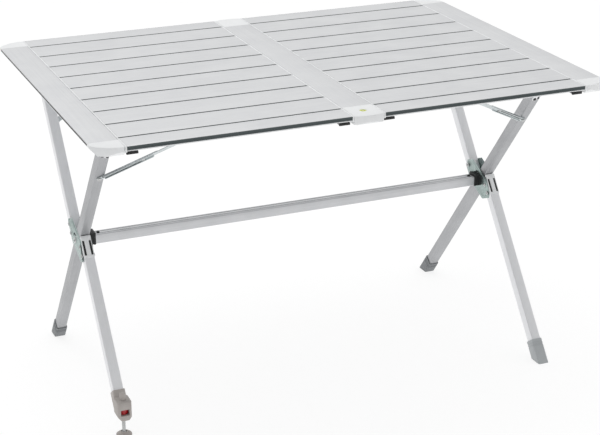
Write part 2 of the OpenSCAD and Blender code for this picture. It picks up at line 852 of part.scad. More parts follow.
// Frame of the levelling foot: Z is the spindle's axis, from the floor
module level_frame() {
    on_side(-1) translate([leg_x, spindle_y, 0]) children();
}

// Housing on the front left leg end with a window for the nut
module level_housing() {
    sleeve_w = half_leg_w + 2 * fit_gap + 4;
    sleeve_d = leg_d + 2 * fit_gap + 4;
    sleeve_s = level_tube_s - sleeve_down;
    color("tan") difference() {
        union() {
            split_frame(-1) translate([0, -half_leg_offset, sleeve_s])
                linear_extrude(sleeve_up + sleeve_down) cut_rect(sleeve_w, sleeve_d, 2);
            level_frame() {
                translate([0, 2, level_low]) linear_extrude(level_top - level_low)
                    cut_rect(level_w, level_depth, 6);
                translate([0, 0, level_top]) cylinder(r = guide_r, h = guide_h);
            }
        }
        split_frame(-1) translate([0, -half_leg_offset, level_tube_s]) linear_extrude(80)
            cut_rect(half_leg_w + 2 * fit_gap, leg_d + 2 * fit_gap, 1.2);
        level_frame() {
            cylinder(r = spindle_d / 2 + 0.2, h = level_top + guide_h - 2);
            translate([0, 0, nut_z - nut_gap])
                cylinder(r = nut_d / 2 + 0.8, h = nut_h + 2 * nut_gap);
            translate([-window_w / 2, -level_depth, nut_z - nut_gap])
                cube([window_w, level_depth, nut_h + 2 * nut_gap]);
        }
    }
}

// Fluted thumb nut
module level_nut() {
    flutes = 14;
    color("crimson") level_frame() translate([0, 0, nut_z]) difference() {
        cylinder(r = nut_d / 2, h = nut_h);
        translate([0, 0, -cut]) cylinder(r = spindle_d / 2 + fit_gap, h = nut_h + 2 * cut);
        for (i = [0:flutes - 1]) rotate([0, 0, i * 360 / flutes])
            translate([nut_d / 2 + 1, 0, -cut])
                cylinder(r = 2, h = nut_h + 2 * cut, $fn = 16);
    }
}

// Spindle with a ball at its lower end
module level_spindle() {
    color("silver") level_frame() {
        translate([0, 0, ball_z]) cylinder(r = spindle_d / 2, h = spindle_top - ball_z);
        translate([0, 0, ball_z]) sphere(r = ball_r);
    }
}

// Round floor pad with a socket for the ball
module level_pad() {
    color("tan") level_frame() difference() {
        rotate_extrude() polygon([
            [0, 0], [pad_d / 2 - 3, 0], [pad_d / 2, 3], [pad_d / 2, 6],
            [pad_d / 2 - 5, pad_h - 2], [9, pad_h], [0, pad_h]
        ]);
        translate([0, 0, ball_z]) sphere(r = ball_r + 0.1);
    }
}

end_rail(-1);  // rail_left
middle_rail();  // rail_middle
end_rail(1);  // rail_right
mirror([1, 0, 0]) corner_cap();  // cap_front_left
middle_cap(true);  // cap_front_middle
corner_cap();  // cap_front_right
mirror([0, 1, 0]) mirror([1, 0, 0]) corner_cap();  // cap_back_left
mirror([0, 1, 0]) middle_cap(false);  // cap_back_middle
mirror([0, 1, 0]) corner_cap();  // cap_back_right
bubble_level();
slat_field(-1);  // slats_left
slat_field(1);  // slats_right
slat_end_pieces();
slat_cords();
slat_clips();
stay_catches();
head_seats();
half_leg(-1, 1, tube_top_s + half_leg_shift);  // half_leg_upper_left
half_leg(1, 1, tube_top_s + half_leg_shift);  // half_leg_upper_right
half_leg(-1, -1, -level_tube_s);  // half_leg_lower_left
half_leg(1, -1, half_leg_shift - tube_end_s);  // half_leg_lower_right
hub_plate(-1, 1);  // hub_plate_outer_left
hub_plate(-1, -1);  // hub_plate_inner_left
hub_plate(1, 1);  // hub_plate_outer_right
hub_plate(1, -1);  // hub_plate_inner_right
hub_collars(-1);  // hub_collars_left
hub_collars(1);  // hub_collars_right
hub_pivot_pins();
hub_rivets();
crossbar();
bar_socket(-1);  // bar_socket_left
bar_socket(1);  // bar_socket_right
snap_button(-1);  // snap_button_left
snap_button(1);  // snap_button_right
snap_spring(-1);  // snap_spring_left
snap_spring(1);  // snap_spring_right
leg_head_back(-1);  // leg_head_back_left
leg_head_back(1);  // leg_head_back_right
fasteners_back();
boot_front();  // boot_front_right
level_housing();
level_nut();
level_spindle();
level_pad();
straight_leg(-1);  // straight_leg_left
pivot_bush(-1);  // pivot_bush_left
stop_pin(-1);  // stop_pin_left
boot_back(-1);  // boot_back_left
leg_head_front(-1);  // leg_head_front_left
fasteners_front(-1);  // fasteners_front_left
straight_leg(1);  // straight_leg_right
pivot_bush(1);  // pivot_bush_right
stop_pin(1);  // stop_pin_right
boot_back(1);  // boot_back_right
leg_head_front(1);  // leg_head_front_right
fasteners_front(1);  // fasteners_front_right
stay_front(-1);  // stay_front_left
stay_front(1);  // stay_front_right
stay_back(-1);  // stay_back_left
stay_back(1);  // stay_back_right
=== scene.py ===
"""Folding camping table: the looks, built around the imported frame.

Lengths in the code are millimetres. The shaping functions turn them into Blender's metres.
"""

import json
import logging
import math
from collections.abc import Callable, Iterator
from contextlib import contextmanager
from dataclasses import dataclass
from enum import Enum

import bmesh
import bpy
from mathutils import Matrix, Vector


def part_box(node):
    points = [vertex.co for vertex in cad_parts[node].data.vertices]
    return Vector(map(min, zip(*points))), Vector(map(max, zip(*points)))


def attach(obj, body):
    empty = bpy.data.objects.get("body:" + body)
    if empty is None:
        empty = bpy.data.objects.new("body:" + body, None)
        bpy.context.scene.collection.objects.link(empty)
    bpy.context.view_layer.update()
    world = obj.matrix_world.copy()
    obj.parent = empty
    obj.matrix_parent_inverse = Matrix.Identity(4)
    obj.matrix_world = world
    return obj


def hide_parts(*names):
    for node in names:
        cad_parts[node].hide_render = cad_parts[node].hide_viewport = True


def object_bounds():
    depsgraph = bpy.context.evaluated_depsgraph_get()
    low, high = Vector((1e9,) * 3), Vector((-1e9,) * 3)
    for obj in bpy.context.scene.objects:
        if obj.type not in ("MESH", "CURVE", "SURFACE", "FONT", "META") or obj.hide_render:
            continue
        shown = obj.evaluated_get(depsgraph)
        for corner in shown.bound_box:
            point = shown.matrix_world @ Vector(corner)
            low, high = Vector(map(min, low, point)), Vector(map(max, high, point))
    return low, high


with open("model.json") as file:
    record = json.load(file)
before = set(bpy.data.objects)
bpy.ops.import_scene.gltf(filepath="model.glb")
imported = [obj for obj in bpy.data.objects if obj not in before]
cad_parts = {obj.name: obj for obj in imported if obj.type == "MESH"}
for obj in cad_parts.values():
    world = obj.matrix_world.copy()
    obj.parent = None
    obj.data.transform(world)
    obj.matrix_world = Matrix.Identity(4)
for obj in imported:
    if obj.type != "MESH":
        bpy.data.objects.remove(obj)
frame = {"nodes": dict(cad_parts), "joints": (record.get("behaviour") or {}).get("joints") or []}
CAD_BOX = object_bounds()
MM = 0.001
SIDES = {"left": -1, "right": 1}
LOG = logging.getLogger("table")
FaceTest = Callable[[Vector, Vector], bool]


# ---------- finishes ----------


def linear(colour: str) -> tuple[float, float, float, float]:
    """Turns an sRGB hex colour into linear values.

    Args:
        colour: six hex digits after a hash.

    Returns:
        Red, green, blue and an alpha of 1.
    """
    channels = [int(colour[i : i + 2], 16) / 255 for i in (1, 3, 5)]
    low = [c / 12.92 if c <= 0.04045 else ((c + 0.055) / 1.055) ** 2.4 for c in channels]
    return (low[0], low[1], low[2], 1.0)


def add_node(tree: bpy.types.NodeTree, kind: str, settings: dict, links: dict) -> bpy.types.Node:
    """Adds a node with its settings and links.

    Args:
        tree: the material's or world's node tree.
        kind: the node's type name.
        settings: input values by socket name, and attributes by their own name.
        links: output sockets by the name of the input that they feed.

    Returns:
        The new node.
    """
    node = tree.nodes.new(kind)
    for name, value in settings.items():
        if hasattr(node, name) and name not in node.inputs:
            setattr(node, name, value)
        else:
            node.inputs[name].default_value = value
    for name, socket in links.items():
        tree.links.new(socket, node.inputs[name])
    return node


class Relief(Enum):
    """How a surface was made, which sets its fine relief."""

    DRAWN = "drawn"
    MOULDED = "moulded"
    PLATED = "plated"
    BRAIDED = "braided"


class Lay(Enum):
    """Direction that drawn lines run in."""

    ALONG_X = "x"
    ALONG_Y = "y"
    UP_STRAIGHT_LEG = "straight"
    UP_SPLIT_LEG = "split"
    NONE = "none"


@dataclass(frozen=True)
class Finish:
    """A surface finish: what it is made of and how fine its relief is."""

    name: str
    colour: str
    shade: str
    roughness: float
    metallic: float = 0.0
    relief: Relief = Relief.MOULDED
    grain: float = 0.6
    height: float = 0.02
    roughness_swing: float = 0.06
    coat: float = 0.0

    def pattern_size(self, lay: Lay) -> tuple[float, float, float]:
        """Size of one pattern cell in metres.

        Args:
            lay: direction that drawn lines run in.

        Returns:
            Sizes along the three axes of the pattern's own frame.
        """
        fine, long = self.grain * MM, 160 * MM
        if lay is Lay.ALONG_X:
            return (long, fine, fine)
        if lay is Lay.ALONG_Y:
            return (fine, long, fine)
        if lay in (Lay.UP_STRAIGHT_LEG, Lay.UP_SPLIT_LEG):
            return (fine, fine, long)
        return (fine, fine, fine)

    def material(self, lay: Lay = Lay.NONE) -> bpy.types.Material:
        """Builds the material once for each lay.

        Args:
            lay: direction that drawn lines run in.

        Returns:
            The material.
        """
        name = self.name if lay is Lay.NONE else f"{self.name}_{lay.value}"
        if name in bpy.data.materials:
            return bpy.data.materials[name]
        material = bpy.data.materials.new(name)
        material.use_nodes = True
        tree = material.node_tree
        tree.nodes.clear()
        turn = {Lay.UP_STRAIGHT_LEG: TILT, Lay.UP_SPLIT_LEG: -TILT}.get(lay, 0.0)
        place = add_node(tree, "ShaderNodeTexCoord", {}, {}).outputs["Object"]
        mapped = add_node(
            tree, "ShaderNodeMapping",
            {"vector_type": "TEXTURE", "Rotation": (turn, 0, 0), "Scale": self.pattern_size(lay)},
            {"Vector": place},
        ).outputs["Vector"]
        fine = self.fine_relief(tree, mapped)
        clouds = add_node(
            tree, "ShaderNodeTexNoise", {"Scale": 14.0, "Detail": 3.0, "Roughness": 0.55},
            {"Vector": place},
        ).outputs["Fac"]
        both = add_node(tree, "ShaderNodeMath", {"operation": "ADD"}, {})
        tree.links.new(fine, both.inputs[0])
        tree.links.new(clouds, both.inputs[1])
        mix = add_node(
            tree, "ShaderNodeMapRange", {"From Min": 0.55, "From Max": 1.45}, {"Value": both.outputs[0]}
        ).outputs["Result"]
        ramp = add_node(tree, "ShaderNodeValToRGB", {}, {"Fac": mix})
        ramp.color_ramp.elements[0].color = linear(self.shade)
        ramp.color_ramp.elements[1].color = linear(self.colour)
        swing = self.roughness_swing
        rough = add_node(
            tree, "ShaderNodeMapRange",
            {"To Min": self.roughness + swing, "To Max": self.roughness - swing}, {"Value": mix},
        ).outputs["Result"]
        bump = add_node(
            tree, "ShaderNodeBump", {"Strength": 0.6, "Distance": self.height * MM}, {"Height": fine}
        ).outputs["Normal"]
        shader = add_node(
            tree, "ShaderNodeBsdfPrincipled",
            {"Metallic": self.metallic, "Coat Weight": self.coat},
            {"Base Color": ramp.outputs["Color"], "Roughness": rough, "Normal": bump},
        )
        add_node(tree, "ShaderNodeOutputMaterial", {}, {"Surface": shader.outputs["BSDF"]})
        return material

    def fine_relief(self, tree: bpy.types.NodeTree, mapped: bpy.types.NodeSocket) -> bpy.types.NodeSocket:
        """Adds the texture that draws the fine relief.

        Args:
            tree: the material's node tree.
            mapped: the pattern's coordinates, one unit to a cell.

        Returns:
            A socket between 0 and 1.
        """
        if self.relief is Relief.PLATED:
            cells = add_node(
                tree, "ShaderNodeTexVoronoi", {"Scale": 1.0, "feature": "SMOOTH_F1", "Smoothness": 0.6},
                {"Vector": mapped},
            )
            return cells.outputs["Distance"]
        if self.relief is Relief.BRAIDED:
            braid = add_node(
                tree, "ShaderNodeTexWave", {"Scale": 0.5, "bands_direction": "DIAGONAL", "Distortion": 1.0},
                {"Vector": mapped},
            )
            return braid.outputs["Fac"]
        detail = 2.0 if self.relief is Relief.DRAWN else 4.0
        return add_node(
            tree, "ShaderNodeTexNoise", {"Scale": 1.0, "Detail": detail}, {"Vector": mapped}
        ).outputs["Fac"]


# The grain of each finish is the size of one cell of its relief in millimetres, and the height is the
# relief's depth. Die lines (0.1 mm), spark grain (0.05 mm) and zinc spangle (0.5 mm) are all too fine
# to show at this distance, so they are drawn several times as coarse.

# Satin anodised extrusion of the top: pale, with a matt lengthwise sheen
ANODISED = Finish("anodised_aluminium", "#DFE0E1", "#D3D4D6", 0.42, 1.0, Relief.DRAWN, 1.6, 0.012, 0.05)
# Anodised tube of the two-part legs, painted lighter than the one-piece legs' tube as painted light, for
# faces that face up into the top's shade; a little glossier
TUBE_PAINTED_LIGHTER = Finish("anodised_tube_painted_lighter", "#F1F2F4", "#E8E9EB", 0.36, 0.45, Relief.DRAWN, 1.2, 0.015, 0.06)
# The bar's tube: the same anodising on a duller extrusion
BAR_TUBE = Finish("bar_anodised_tube", "#CFD0D2", "#C3C4C6", 0.38, 1.0, Relief.DRAWN, 1.2, 0.015, 0.06)
# The one-piece legs' anodised tube, painted a darker mid grey as painted shade, for faces that turn down and
# away from the light; matt
TUBE_PAINTED_DARKER = Finish("anodised_tube_painted_darker", "#BDBEC0", "#AFB0B2", 0.5, 1.0, Relief.DRAWN, 1.2, 0.012, 0.05)
# Moulded ABS from a spark-eroded tool: even white with a soft gloss
WHITE_ABS = Finish("white_abs", "#F6F7F8", "#EDEFF0", 0.42, 0.0, Relief.MOULDED, 0.9, 0.015, 0.04)
# Painted shade: dark slate strips that stand for the shade in the gaps between the slats, on the top's front
# and back edges and in the bar's top grooves; slightly waxy
SHADE_STRIP_SLATE = Finish("painted_shade_slate", "#465153", "#363F41", 0.4, 0.0, Relief.DRAWN, 0.9, 0.02, 0.05)
# Glass-filled nylon: near black with a dull, grainy skin; the same black also serves as painted shade on the
# end rails' outer sides, inside the stay channels and in the collar slots
BLACK_NYLON_AND_SHADE = Finish("black_nylon_and_painted_shade", "#1B1C1E", "#121314", 0.5, 0.0, Relief.MOULDED, 0.8, 0.02, 0.05)
# Pressed sheet, zinc plated and green passivated: cool, faintly cloudy grey
GREEN_ZINC = Finish("green_passivated_zinc", "#B4C2BF", "#96A5A2", 0.38, 1.0, Relief.PLATED, 3.2, 0.006, 0.08)
# Folded sheet, zinc plated and blue passivated: brighter, with the same clouds
BLUE_ZINC = Finish("blue_passivated_zinc", "#DDE2E3", "#C6CCCD", 0.36, 1.0, Relief.PLATED, 2.6, 0.006, 0.08)
# Turned or drawn bright steel: pins, rivets, spindle and springs
BRIGHT_STEEL = Finish("turned_steel", "#D4D5D5", "#B9BABA", 0.26, 1.0, Relief.DRAWN, 0.7, 0.008, 0.05)
# Steel with a black oxide skin: screw and snap pin heads
DARK_STEEL = Finish("black_oxide_steel", "#242527", "#17181A", 0.42, 0.8, Relief.PLATED, 1.4, 0.006, 0.06)
# Moulded polypropylene of the boots: mid grey, finely grained
GREY_PP = Finish("grey_polypropylene", "#8C8F91", "#7A7D80", 0.55, 0.0, Relief.MOULDED, 0.9, 0.03, 0.05)
# The front boot's polypropylene: the same moulding in a paler batch
PALE_PP = Finish("pale_grey_polypropylene", "#BFC3C5", "#B0B4B6", 0.5, 0.0, Relief.MOULDED, 0.9, 0.03, 0.05)
# Moulded polyamide of the levelling foot: a warmer, paler grey
WARM_GREY_PA = Finish("warm_grey_polyamide", "#BBB5B1", "#A9A39E", 0.5, 0.0, Relief.MOULDED, 0.9, 0.025, 0.05)
# Polished red ABS of the thumb nut
RED_ABS = Finish("red_abs", "#D0101E", "#AC0C17", 0.3, 0.0, Relief.MOULDED, 0.8, 0.01, 0.04, coat=0.3)
# Dyed liquid under its clear cap: a glossy yellow green
VIAL_LIQUID = Finish(
    "vial_liquid", "#DDE51C", "#CAD40F", 0.14, 0.0, Relief.MOULDED, 2.0, 0.002, 0.02, coat=0.6
)
# Trapped air in the vial: a paler spot
VIAL_BUBBLE = Finish(
    "vial_bubble", "#F1F4A6", "#E3E88A", 0.12, 0.0, Relief.MOULDED, 2.0, 0.002, 0.02, coat=0.6
)
# Braided elastic cord: dark, with its crossing strands drawn coarse enough to show
ELASTIC = Finish("braided_elastic", "#4A4B4D", "#333436", 0.8, 0.0, Relief.BRAIDED, 0.9, 0.15, 0.05)


# ---------- shaping ----------


def mm(x: float, y: float, z: float) -> Vector:
    """A place or size in millimetres as metres."""
    return Vector((x, y, z)) * MM


def only(piece: bpy.types.Object) -> None:
    """Selects one piece and nothing else.

    Args:
        piece: the piece to select and make active.
    """
    bpy.ops.object.select_all(action="DESELECT")
    piece.select_set(True)
    bpy.context.view_layer.objects.active = piece


def settle(name: str, size: Vector | None = None) -> bpy.types.Object:
    """Names the new primitive and applies its place and size.

    Args:
        name: the piece's name.
        size: scale to apply, if any.

    Returns:
        The piece.
    """
    piece = bpy.context.object
    piece.name = piece.data.name = name
    if size is not None:
        piece.scale = size
    only(piece)
    bpy.ops.object.transform_apply(location=True, rotation=True, scale=True)
    return piece


def block(name: str, low: tuple, high: tuple) -> bpy.types.Object:
    """Adds a cube stretched between two corners.

    Args:
        name: the piece's name.
        low: lowest corner, in millimetres.
        high: highest corner, in millimetres.

    Returns:
        The piece.
    """
    start, end = mm(*low), mm(*high)
    bpy.ops.object.select_all(action="DESELECT")
    bpy.ops.mesh.primitive_cube_add(size=1.0, location=(start + end) / 2)
    return settle(name, end - start)


def rod(
    name: str, centre: tuple, radius: float, length: float, axis: str = "Z", sides: int = 32
) -> bpy.types.Object:
    """Adds a cylinder along one axis.

    Args:
        name: the piece's name.
        centre: its middle, in millimetres.
        radius: in millimetres.
        length: in millimetres.
        axis: X, Y or Z.
        sides: number of flats round it.

    Returns:
        The piece.
    """
    quarter = math.pi / 2
    turn = {"X": (0, quarter, 0), "Y": (quarter, 0, 0), "Z": (0, 0, 0)}[axis]
    bpy.ops.object.select_all(action="DESELECT")
    bpy.ops.mesh.primitive_cylinder_add(
        vertices=sides, radius=radius * MM, depth=length * MM, location=mm(*centre), rotation=turn
    )
    return settle(name)


@contextmanager
def editing(piece: bpy.types.Object, kind: str = "FACE") -> Iterator[None]:
    """Opens a piece in edit mode with nothing selected.

    Args:
        piece: the piece to shape.
        kind: VERT, EDGE or FACE.

    Yields:
        Nothing.
    """
    only(piece)
    bpy.ops.object.mode_set(mode="EDIT")
    bpy.ops.mesh.select_mode(type=kind)
    bpy.ops.mesh.select_all(action="DESELECT")
    yield
    bpy.ops.object.mode_set(mode="OBJECT")


def pick_faces(piece: bpy.types.Object, wanted: FaceTest) -> None:
    """Selects the faces of a piece in edit mode that pass a test.

    Args:
        piece: the piece.
        wanted: test of a face's middle, in millimetres, and normal.
    """
    mesh = bmesh.from_edit_mesh(piece.data)
    for face in mesh.faces:
        face.select_set(wanted(face.calc_center_median() / MM, face.normal))
    bmesh.update_edit_mesh(piece.data)


def pick_edges(piece: bpy.types.Object, wanted: FaceTest) -> None:
    """Selects the edges of a piece in edit mode that pass a test.

    Args:
        piece: the piece.
        wanted: test of an edge's middle, in millimetres, and direction.
    """
    mesh = bmesh.from_edit_mesh(piece.data)
    for edge in mesh.edges:
        start, end = (v.co for v in edge.verts)
        edge.select_set(wanted((start + end) / 2 / MM, (end - start).normalized()))
    mesh.select_flush_mode()
    bmesh.update_edit_mesh(piece.data)


def pick_sharp(piece: bpy.types.Object, angle: float = 30.0) -> None:
    """Selects the edges of a piece in edit mode where two faces meet sharply.

    Args:
        piece: the piece.
        angle: smallest angle between the faces, in degrees.
    """
    mesh = bmesh.from_edit_mesh(piece.data)
    for edge in mesh.edges:
        edge.select_set(len(edge.link_faces) == 2 and edge.calc_face_angle() > math.radians(angle))
    mesh.select_flush_mode()
    bmesh.update_edit_mesh(piece.data)


def round_picked(radius: float, steps: int = 2) -> None:
    """Bevels the selected edges to a radius in millimetres."""
    bpy.ops.mesh.bevel(offset=radius * MM, segments=steps, affect="EDGES", clamp_overlap=True)


def soften(piece: bpy.types.Object, radius: float, steps: int = 2, angle: float = 30.0) -> bpy.types.Object:
    """Rounds all the sharp edges of a piece.

    Args:
        piece: the piece.
        radius: edge radius in millimetres.
        steps: facets across the radius.
        angle: smallest edge angle that is rounded, in degrees.

    Returns:
        The piece.
    """
    with editing(piece, "EDGE"):
        pick_sharp(piece, angle)
        round_picked(radius, steps)
    return piece


def round_along(piece: bpy.types.Object, axis: Vector, radius: float, steps: int = 3) -> bpy.types.Object:
    """Rounds the edges that run along an axis.

    Args:
        piece: the piece.
        axis: the edges' direction.
        radius: edge radius in millimetres.
        steps: facets across the radius.

    Returns:
        The piece.
    """
    with editing(piece, "EDGE"):
        pick_edges(piece, lambda middle, way: abs(way.dot(axis)) > 0.99)
        round_picked(radius, steps)
    return piece


def sink(piece: bpy.types.Object, wanted: FaceTest, border: float, depth: float) -> bpy.types.Object:
    """Insets faces and moves them inwards, or outwards with a negative depth.

    Args:
        piece: the piece.
        wanted: test of a face's middle and normal.
        border: width left round the faces, in millimetres.
        depth: how far they go in, in millimetres.

    Returns:
        The piece.
    """
    with editing(piece):
        pick_faces(piece, wanted)
        bpy.ops.mesh.inset(thickness=border * MM, depth=0.0, use_boundary=True)
        bpy.ops.mesh.inset(thickness=0.0, depth=-depth * MM)
    return piece


def pull(piece: bpy.types.Object, wanted: FaceTest, move: tuple) -> bpy.types.Object:
    """Extrudes faces.

    Args:
        piece: the piece.
        wanted: test of a face's middle and normal.
        move: how far they go along each axis, in millimetres.

    Returns:
        The piece.
    """
    with editing(piece):
        pick_faces(piece, wanted)
        bpy.ops.mesh.extrude_region_move(TRANSFORM_OT_translate={"value": mm(*move)})
    return piece


def score(piece: bpy.types.Object, point: tuple, normal: tuple) -> bpy.types.Object:
    """Cuts an edge loop round a piece where a plane crosses it.

    Args:
        piece: the piece.
        point: a place on the plane, in millimetres.
        normal: the plane's direction.

    Returns:
        The piece.
    """
    with editing(piece):
        bpy.ops.mesh.select_all(action="SELECT")
        bpy.ops.mesh.bisect(plane_co=mm(*point), plane_no=normal)
    return piece


def trim(piece: bpy.types.Object, point: tuple, normal: tuple) -> bpy.types.Object:
    """Cuts away what lies beyond a plane and closes the cut.

    Args:
        piece: the piece.
        point: a place on the plane, in millimetres.
        normal: direction of the side that goes.

    Returns:
        The piece.
    """
    with editing(piece):
        bpy.ops.mesh.select_all(action="SELECT")
        bpy.ops.mesh.bisect(plane_co=mm(*point), plane_no=normal, use_fill=True, clear_outer=True)
    return piece


def combine(piece: bpy.types.Object, other: bpy.types.Object, operation: str) -> bpy.types.Object:
    """Unites a piece with another solid or cuts the other out of it.

    Args:
        piece: the piece that stays.
        other: the solid that is used up.
        operation: UNION or DIFFERENCE.

    Returns:
        The piece.
    """
    only(piece)
    modifier = piece.modifiers.new("combine", "BOOLEAN")
    modifier.operation, modifier.solver, modifier.object = operation, "EXACT", other
    bpy.ops.object.modifier_apply(modifier="combine")
    bpy.data.objects.remove(other)
    return piece


def prism(
    name: str, axis: str, low: float, high: float, corners: list[tuple[float, float]]
) -> bpy.types.Object:
    """Models a slab with a given outline, by moving the corners of a regular prism.

    Args:
        name: the piece's name.
        axis: X or Z, the direction through the slab.
        low: its lower face along the axis, in millimetres.
        high: its upper face along the axis, in millimetres.
        corners: the outline in Y and Z, or in X and Y.

    Returns:
        The piece.
    """
    first, second = {"X": (1, 2), "Z": (0, 1)}[axis]
    middle = Vector([sum(p[i] for p in corners) / len(corners) for i in (0, 1)])
    centre = [(low + high) / 2] * 3
    centre[first], centre[second] = middle
    start_r, full_turn = 40.0, 2 * math.pi - 1e-4
    piece = rod(name, tuple(centre), start_r, high - low, axis, len(corners))

    def turn(point: tuple[float, float]) -> float:
        """Angle of a point round the outline's middle."""
        return math.atan2(point[1] - middle.y, point[0] - middle.x) % full_turn

    flat = {v.index: (v.co[first] / MM, v.co[second] / MM) for v in piece.data.vertices}
    order = sorted(flat, key=lambda i: turn(flat[i]))
    for place, goal in enumerate(sorted(corners, key=turn)):
        pair = order[2 * place : 2 * place + 2]
        move = [0.0, 0.0, 0.0]
        move[first], move[second] = (goal[i] - flat[pair[0]][i] for i in (0, 1))
        with editing(piece, "VERT"):
            mesh = bmesh.from_edit_mesh(piece.data)
            for vert in mesh.verts:
                vert.select_set(vert.index in pair)
            mesh.select_flush_mode()
            bmesh.update_edit_mesh(piece.data)
            bpy.ops.transform.translate(value=mm(*move))
    return piece


def copied(piece: bpy.types.Object, name: str, move: tuple = (0, 0, 0)) -> bpy.types.Object:
    """Copies a piece with its own mesh.

    Args:
        piece: the piece to copy.
        name: the copy's name.
        move: shift of the copy, in millimetres.

    Returns:
        The copy.
    """
    twin = piece.copy()
    twin.data = piece.data.copy()
    twin.name = twin.data.name = name
    twin.location = mm(*move)
    bpy.context.scene.collection.objects.link(twin)
    only(twin)
    bpy.ops.object.transform_apply(location=True, rotation=True, scale=True)
    return twin


def placed(piece: bpy.types.Object, matrix: Matrix) -> bpy.types.Object:
    """Applies a place to a piece's mesh, with its faces outwards.

    Args:
        piece: the piece.
        matrix: where its own frame goes.

    Returns:
        The piece.
    """
    piece.matrix_world = matrix
    only(piece)
    bpy.ops.object.transform_apply(location=True, rotation=True, scale=True)
    with editing(piece):
        bpy.ops.mesh.select_all(action="SELECT")
        bpy.ops.mesh.normals_make_consistent(inside=False)
    return piece


def dress(
    piece: bpy.types.Object, finish: Finish, body: str, nodes: tuple = (), lay: Lay = Lay.NONE
) -> bpy.types.Object:
    """Gives a piece its shading, finish, body and the CAD nodes that it stands for.

    Args:
        piece: the piece.
        finish: its finish.
        body: the CAD body that it rides on.
        nodes: CAD nodes that it replaces.
        lay: direction of drawn lines.

    Returns:
        The piece.
    """
    only(piece)
    bpy.ops.object.shade_smooth_by_angle(angle=math.radians(32))
    piece.data.materials.clear()
    piece.data.materials.append(finish.material(lay))
    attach(piece, body)
    if nodes:
        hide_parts(*nodes)
    LOG.info("%s: %s on %s", piece.name, finish.name, body)
    return piece


def dress_cad(node: str, finish: Finish, lay: Lay = Lay.NONE) -> None:
    """Gives a CAD node a finish and leaves its shape alone.

    Args:
        node: the node's name.
        finish: its finish.
        lay: direction of drawn lines.
    """
    materials = frame["nodes"][node].data.materials
    materials.clear()
    materials.append(finish.material(lay))
    LOG.info("%s: %s", node, finish.name)


# ---------- layout ----------


def joint(name: str) -> dict:
    """The record's joint of that name."""
    return next(j for j in frame["joints"] if j["name"] == name)


HUB_X, _, HUB_Z = (abs(v) / MM for v in joint("fold_right")["pos_m"])
STAY_AXIS = joint("stay_front_right_swing")["axis"]
TILT = math.atan2(-STAY_AXIS[2], -STAY_AXIS[1])
COS, SIN = math.cos(TILT), math.sin(TILT)
TOP_Z = CAD_BOX[1].z / MM
HALF_L = CAD_BOX[1].x / MM
HALF_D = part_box("slats_left")[1].y / MM
BULGE_Y = CAD_BOX[1].y / MM
SEAT_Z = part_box("head_seats")[0].z / MM
RAIL_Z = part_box("rail_left")[0].z / MM
FIELD_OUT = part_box("slat_end_pieces")[1].x / MM
SLAT_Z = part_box("slats_left")[0].z / MM
LEG_W, LEG_D = 22.0, 25.0
LEG_ROUND = 2.4
HALF_LEG_W = 22.6
HALF_LEG_OFFSET = 26.5
HALF_LEG_SHIFT = HALF_LEG_OFFSET * math.tan(TILT)
HEAD_S = (SEAT_Z - HUB_Z) / COS
TUBE_TOP_S = HEAD_S - 34.0
TUBE_END_S = -(HUB_Z - 5.0 - LEG_D / 2 * SIN) / COS
PLATE_X = HALF_LEG_W / 2
UP, ACROSS, DEEP = Vector((0, 0, 1)), Vector((1, 0, 0)), Vector((0, 1, 0))


def on_side(side: str) -> Matrix:
    """Mirrors the right half's frame to the left where it is asked for."""
    return Matrix.Scale(SIDES[side], 4, ACROSS)


def straight_frame(side: str) -> Matrix:
    """Frame of a one-piece leg: Z up the leg from the hub, Y to its upper back face."""
    return on_side(side) @ Matrix.Translation(mm(HUB_X, 0, HUB_Z)) @ Matrix.Rotation(TILT, 4, "X")


def split_frame(side: str) -> Matrix:
    """Frame of a two-part leg: Z up the leg from the hub, Y to its lower back face."""
    return on_side(side) @ Matrix.Translation(mm(HUB_X, 0, HUB_Z)) @ Matrix.Rotation(-TILT, 4, "X")


# ---------- the top ----------


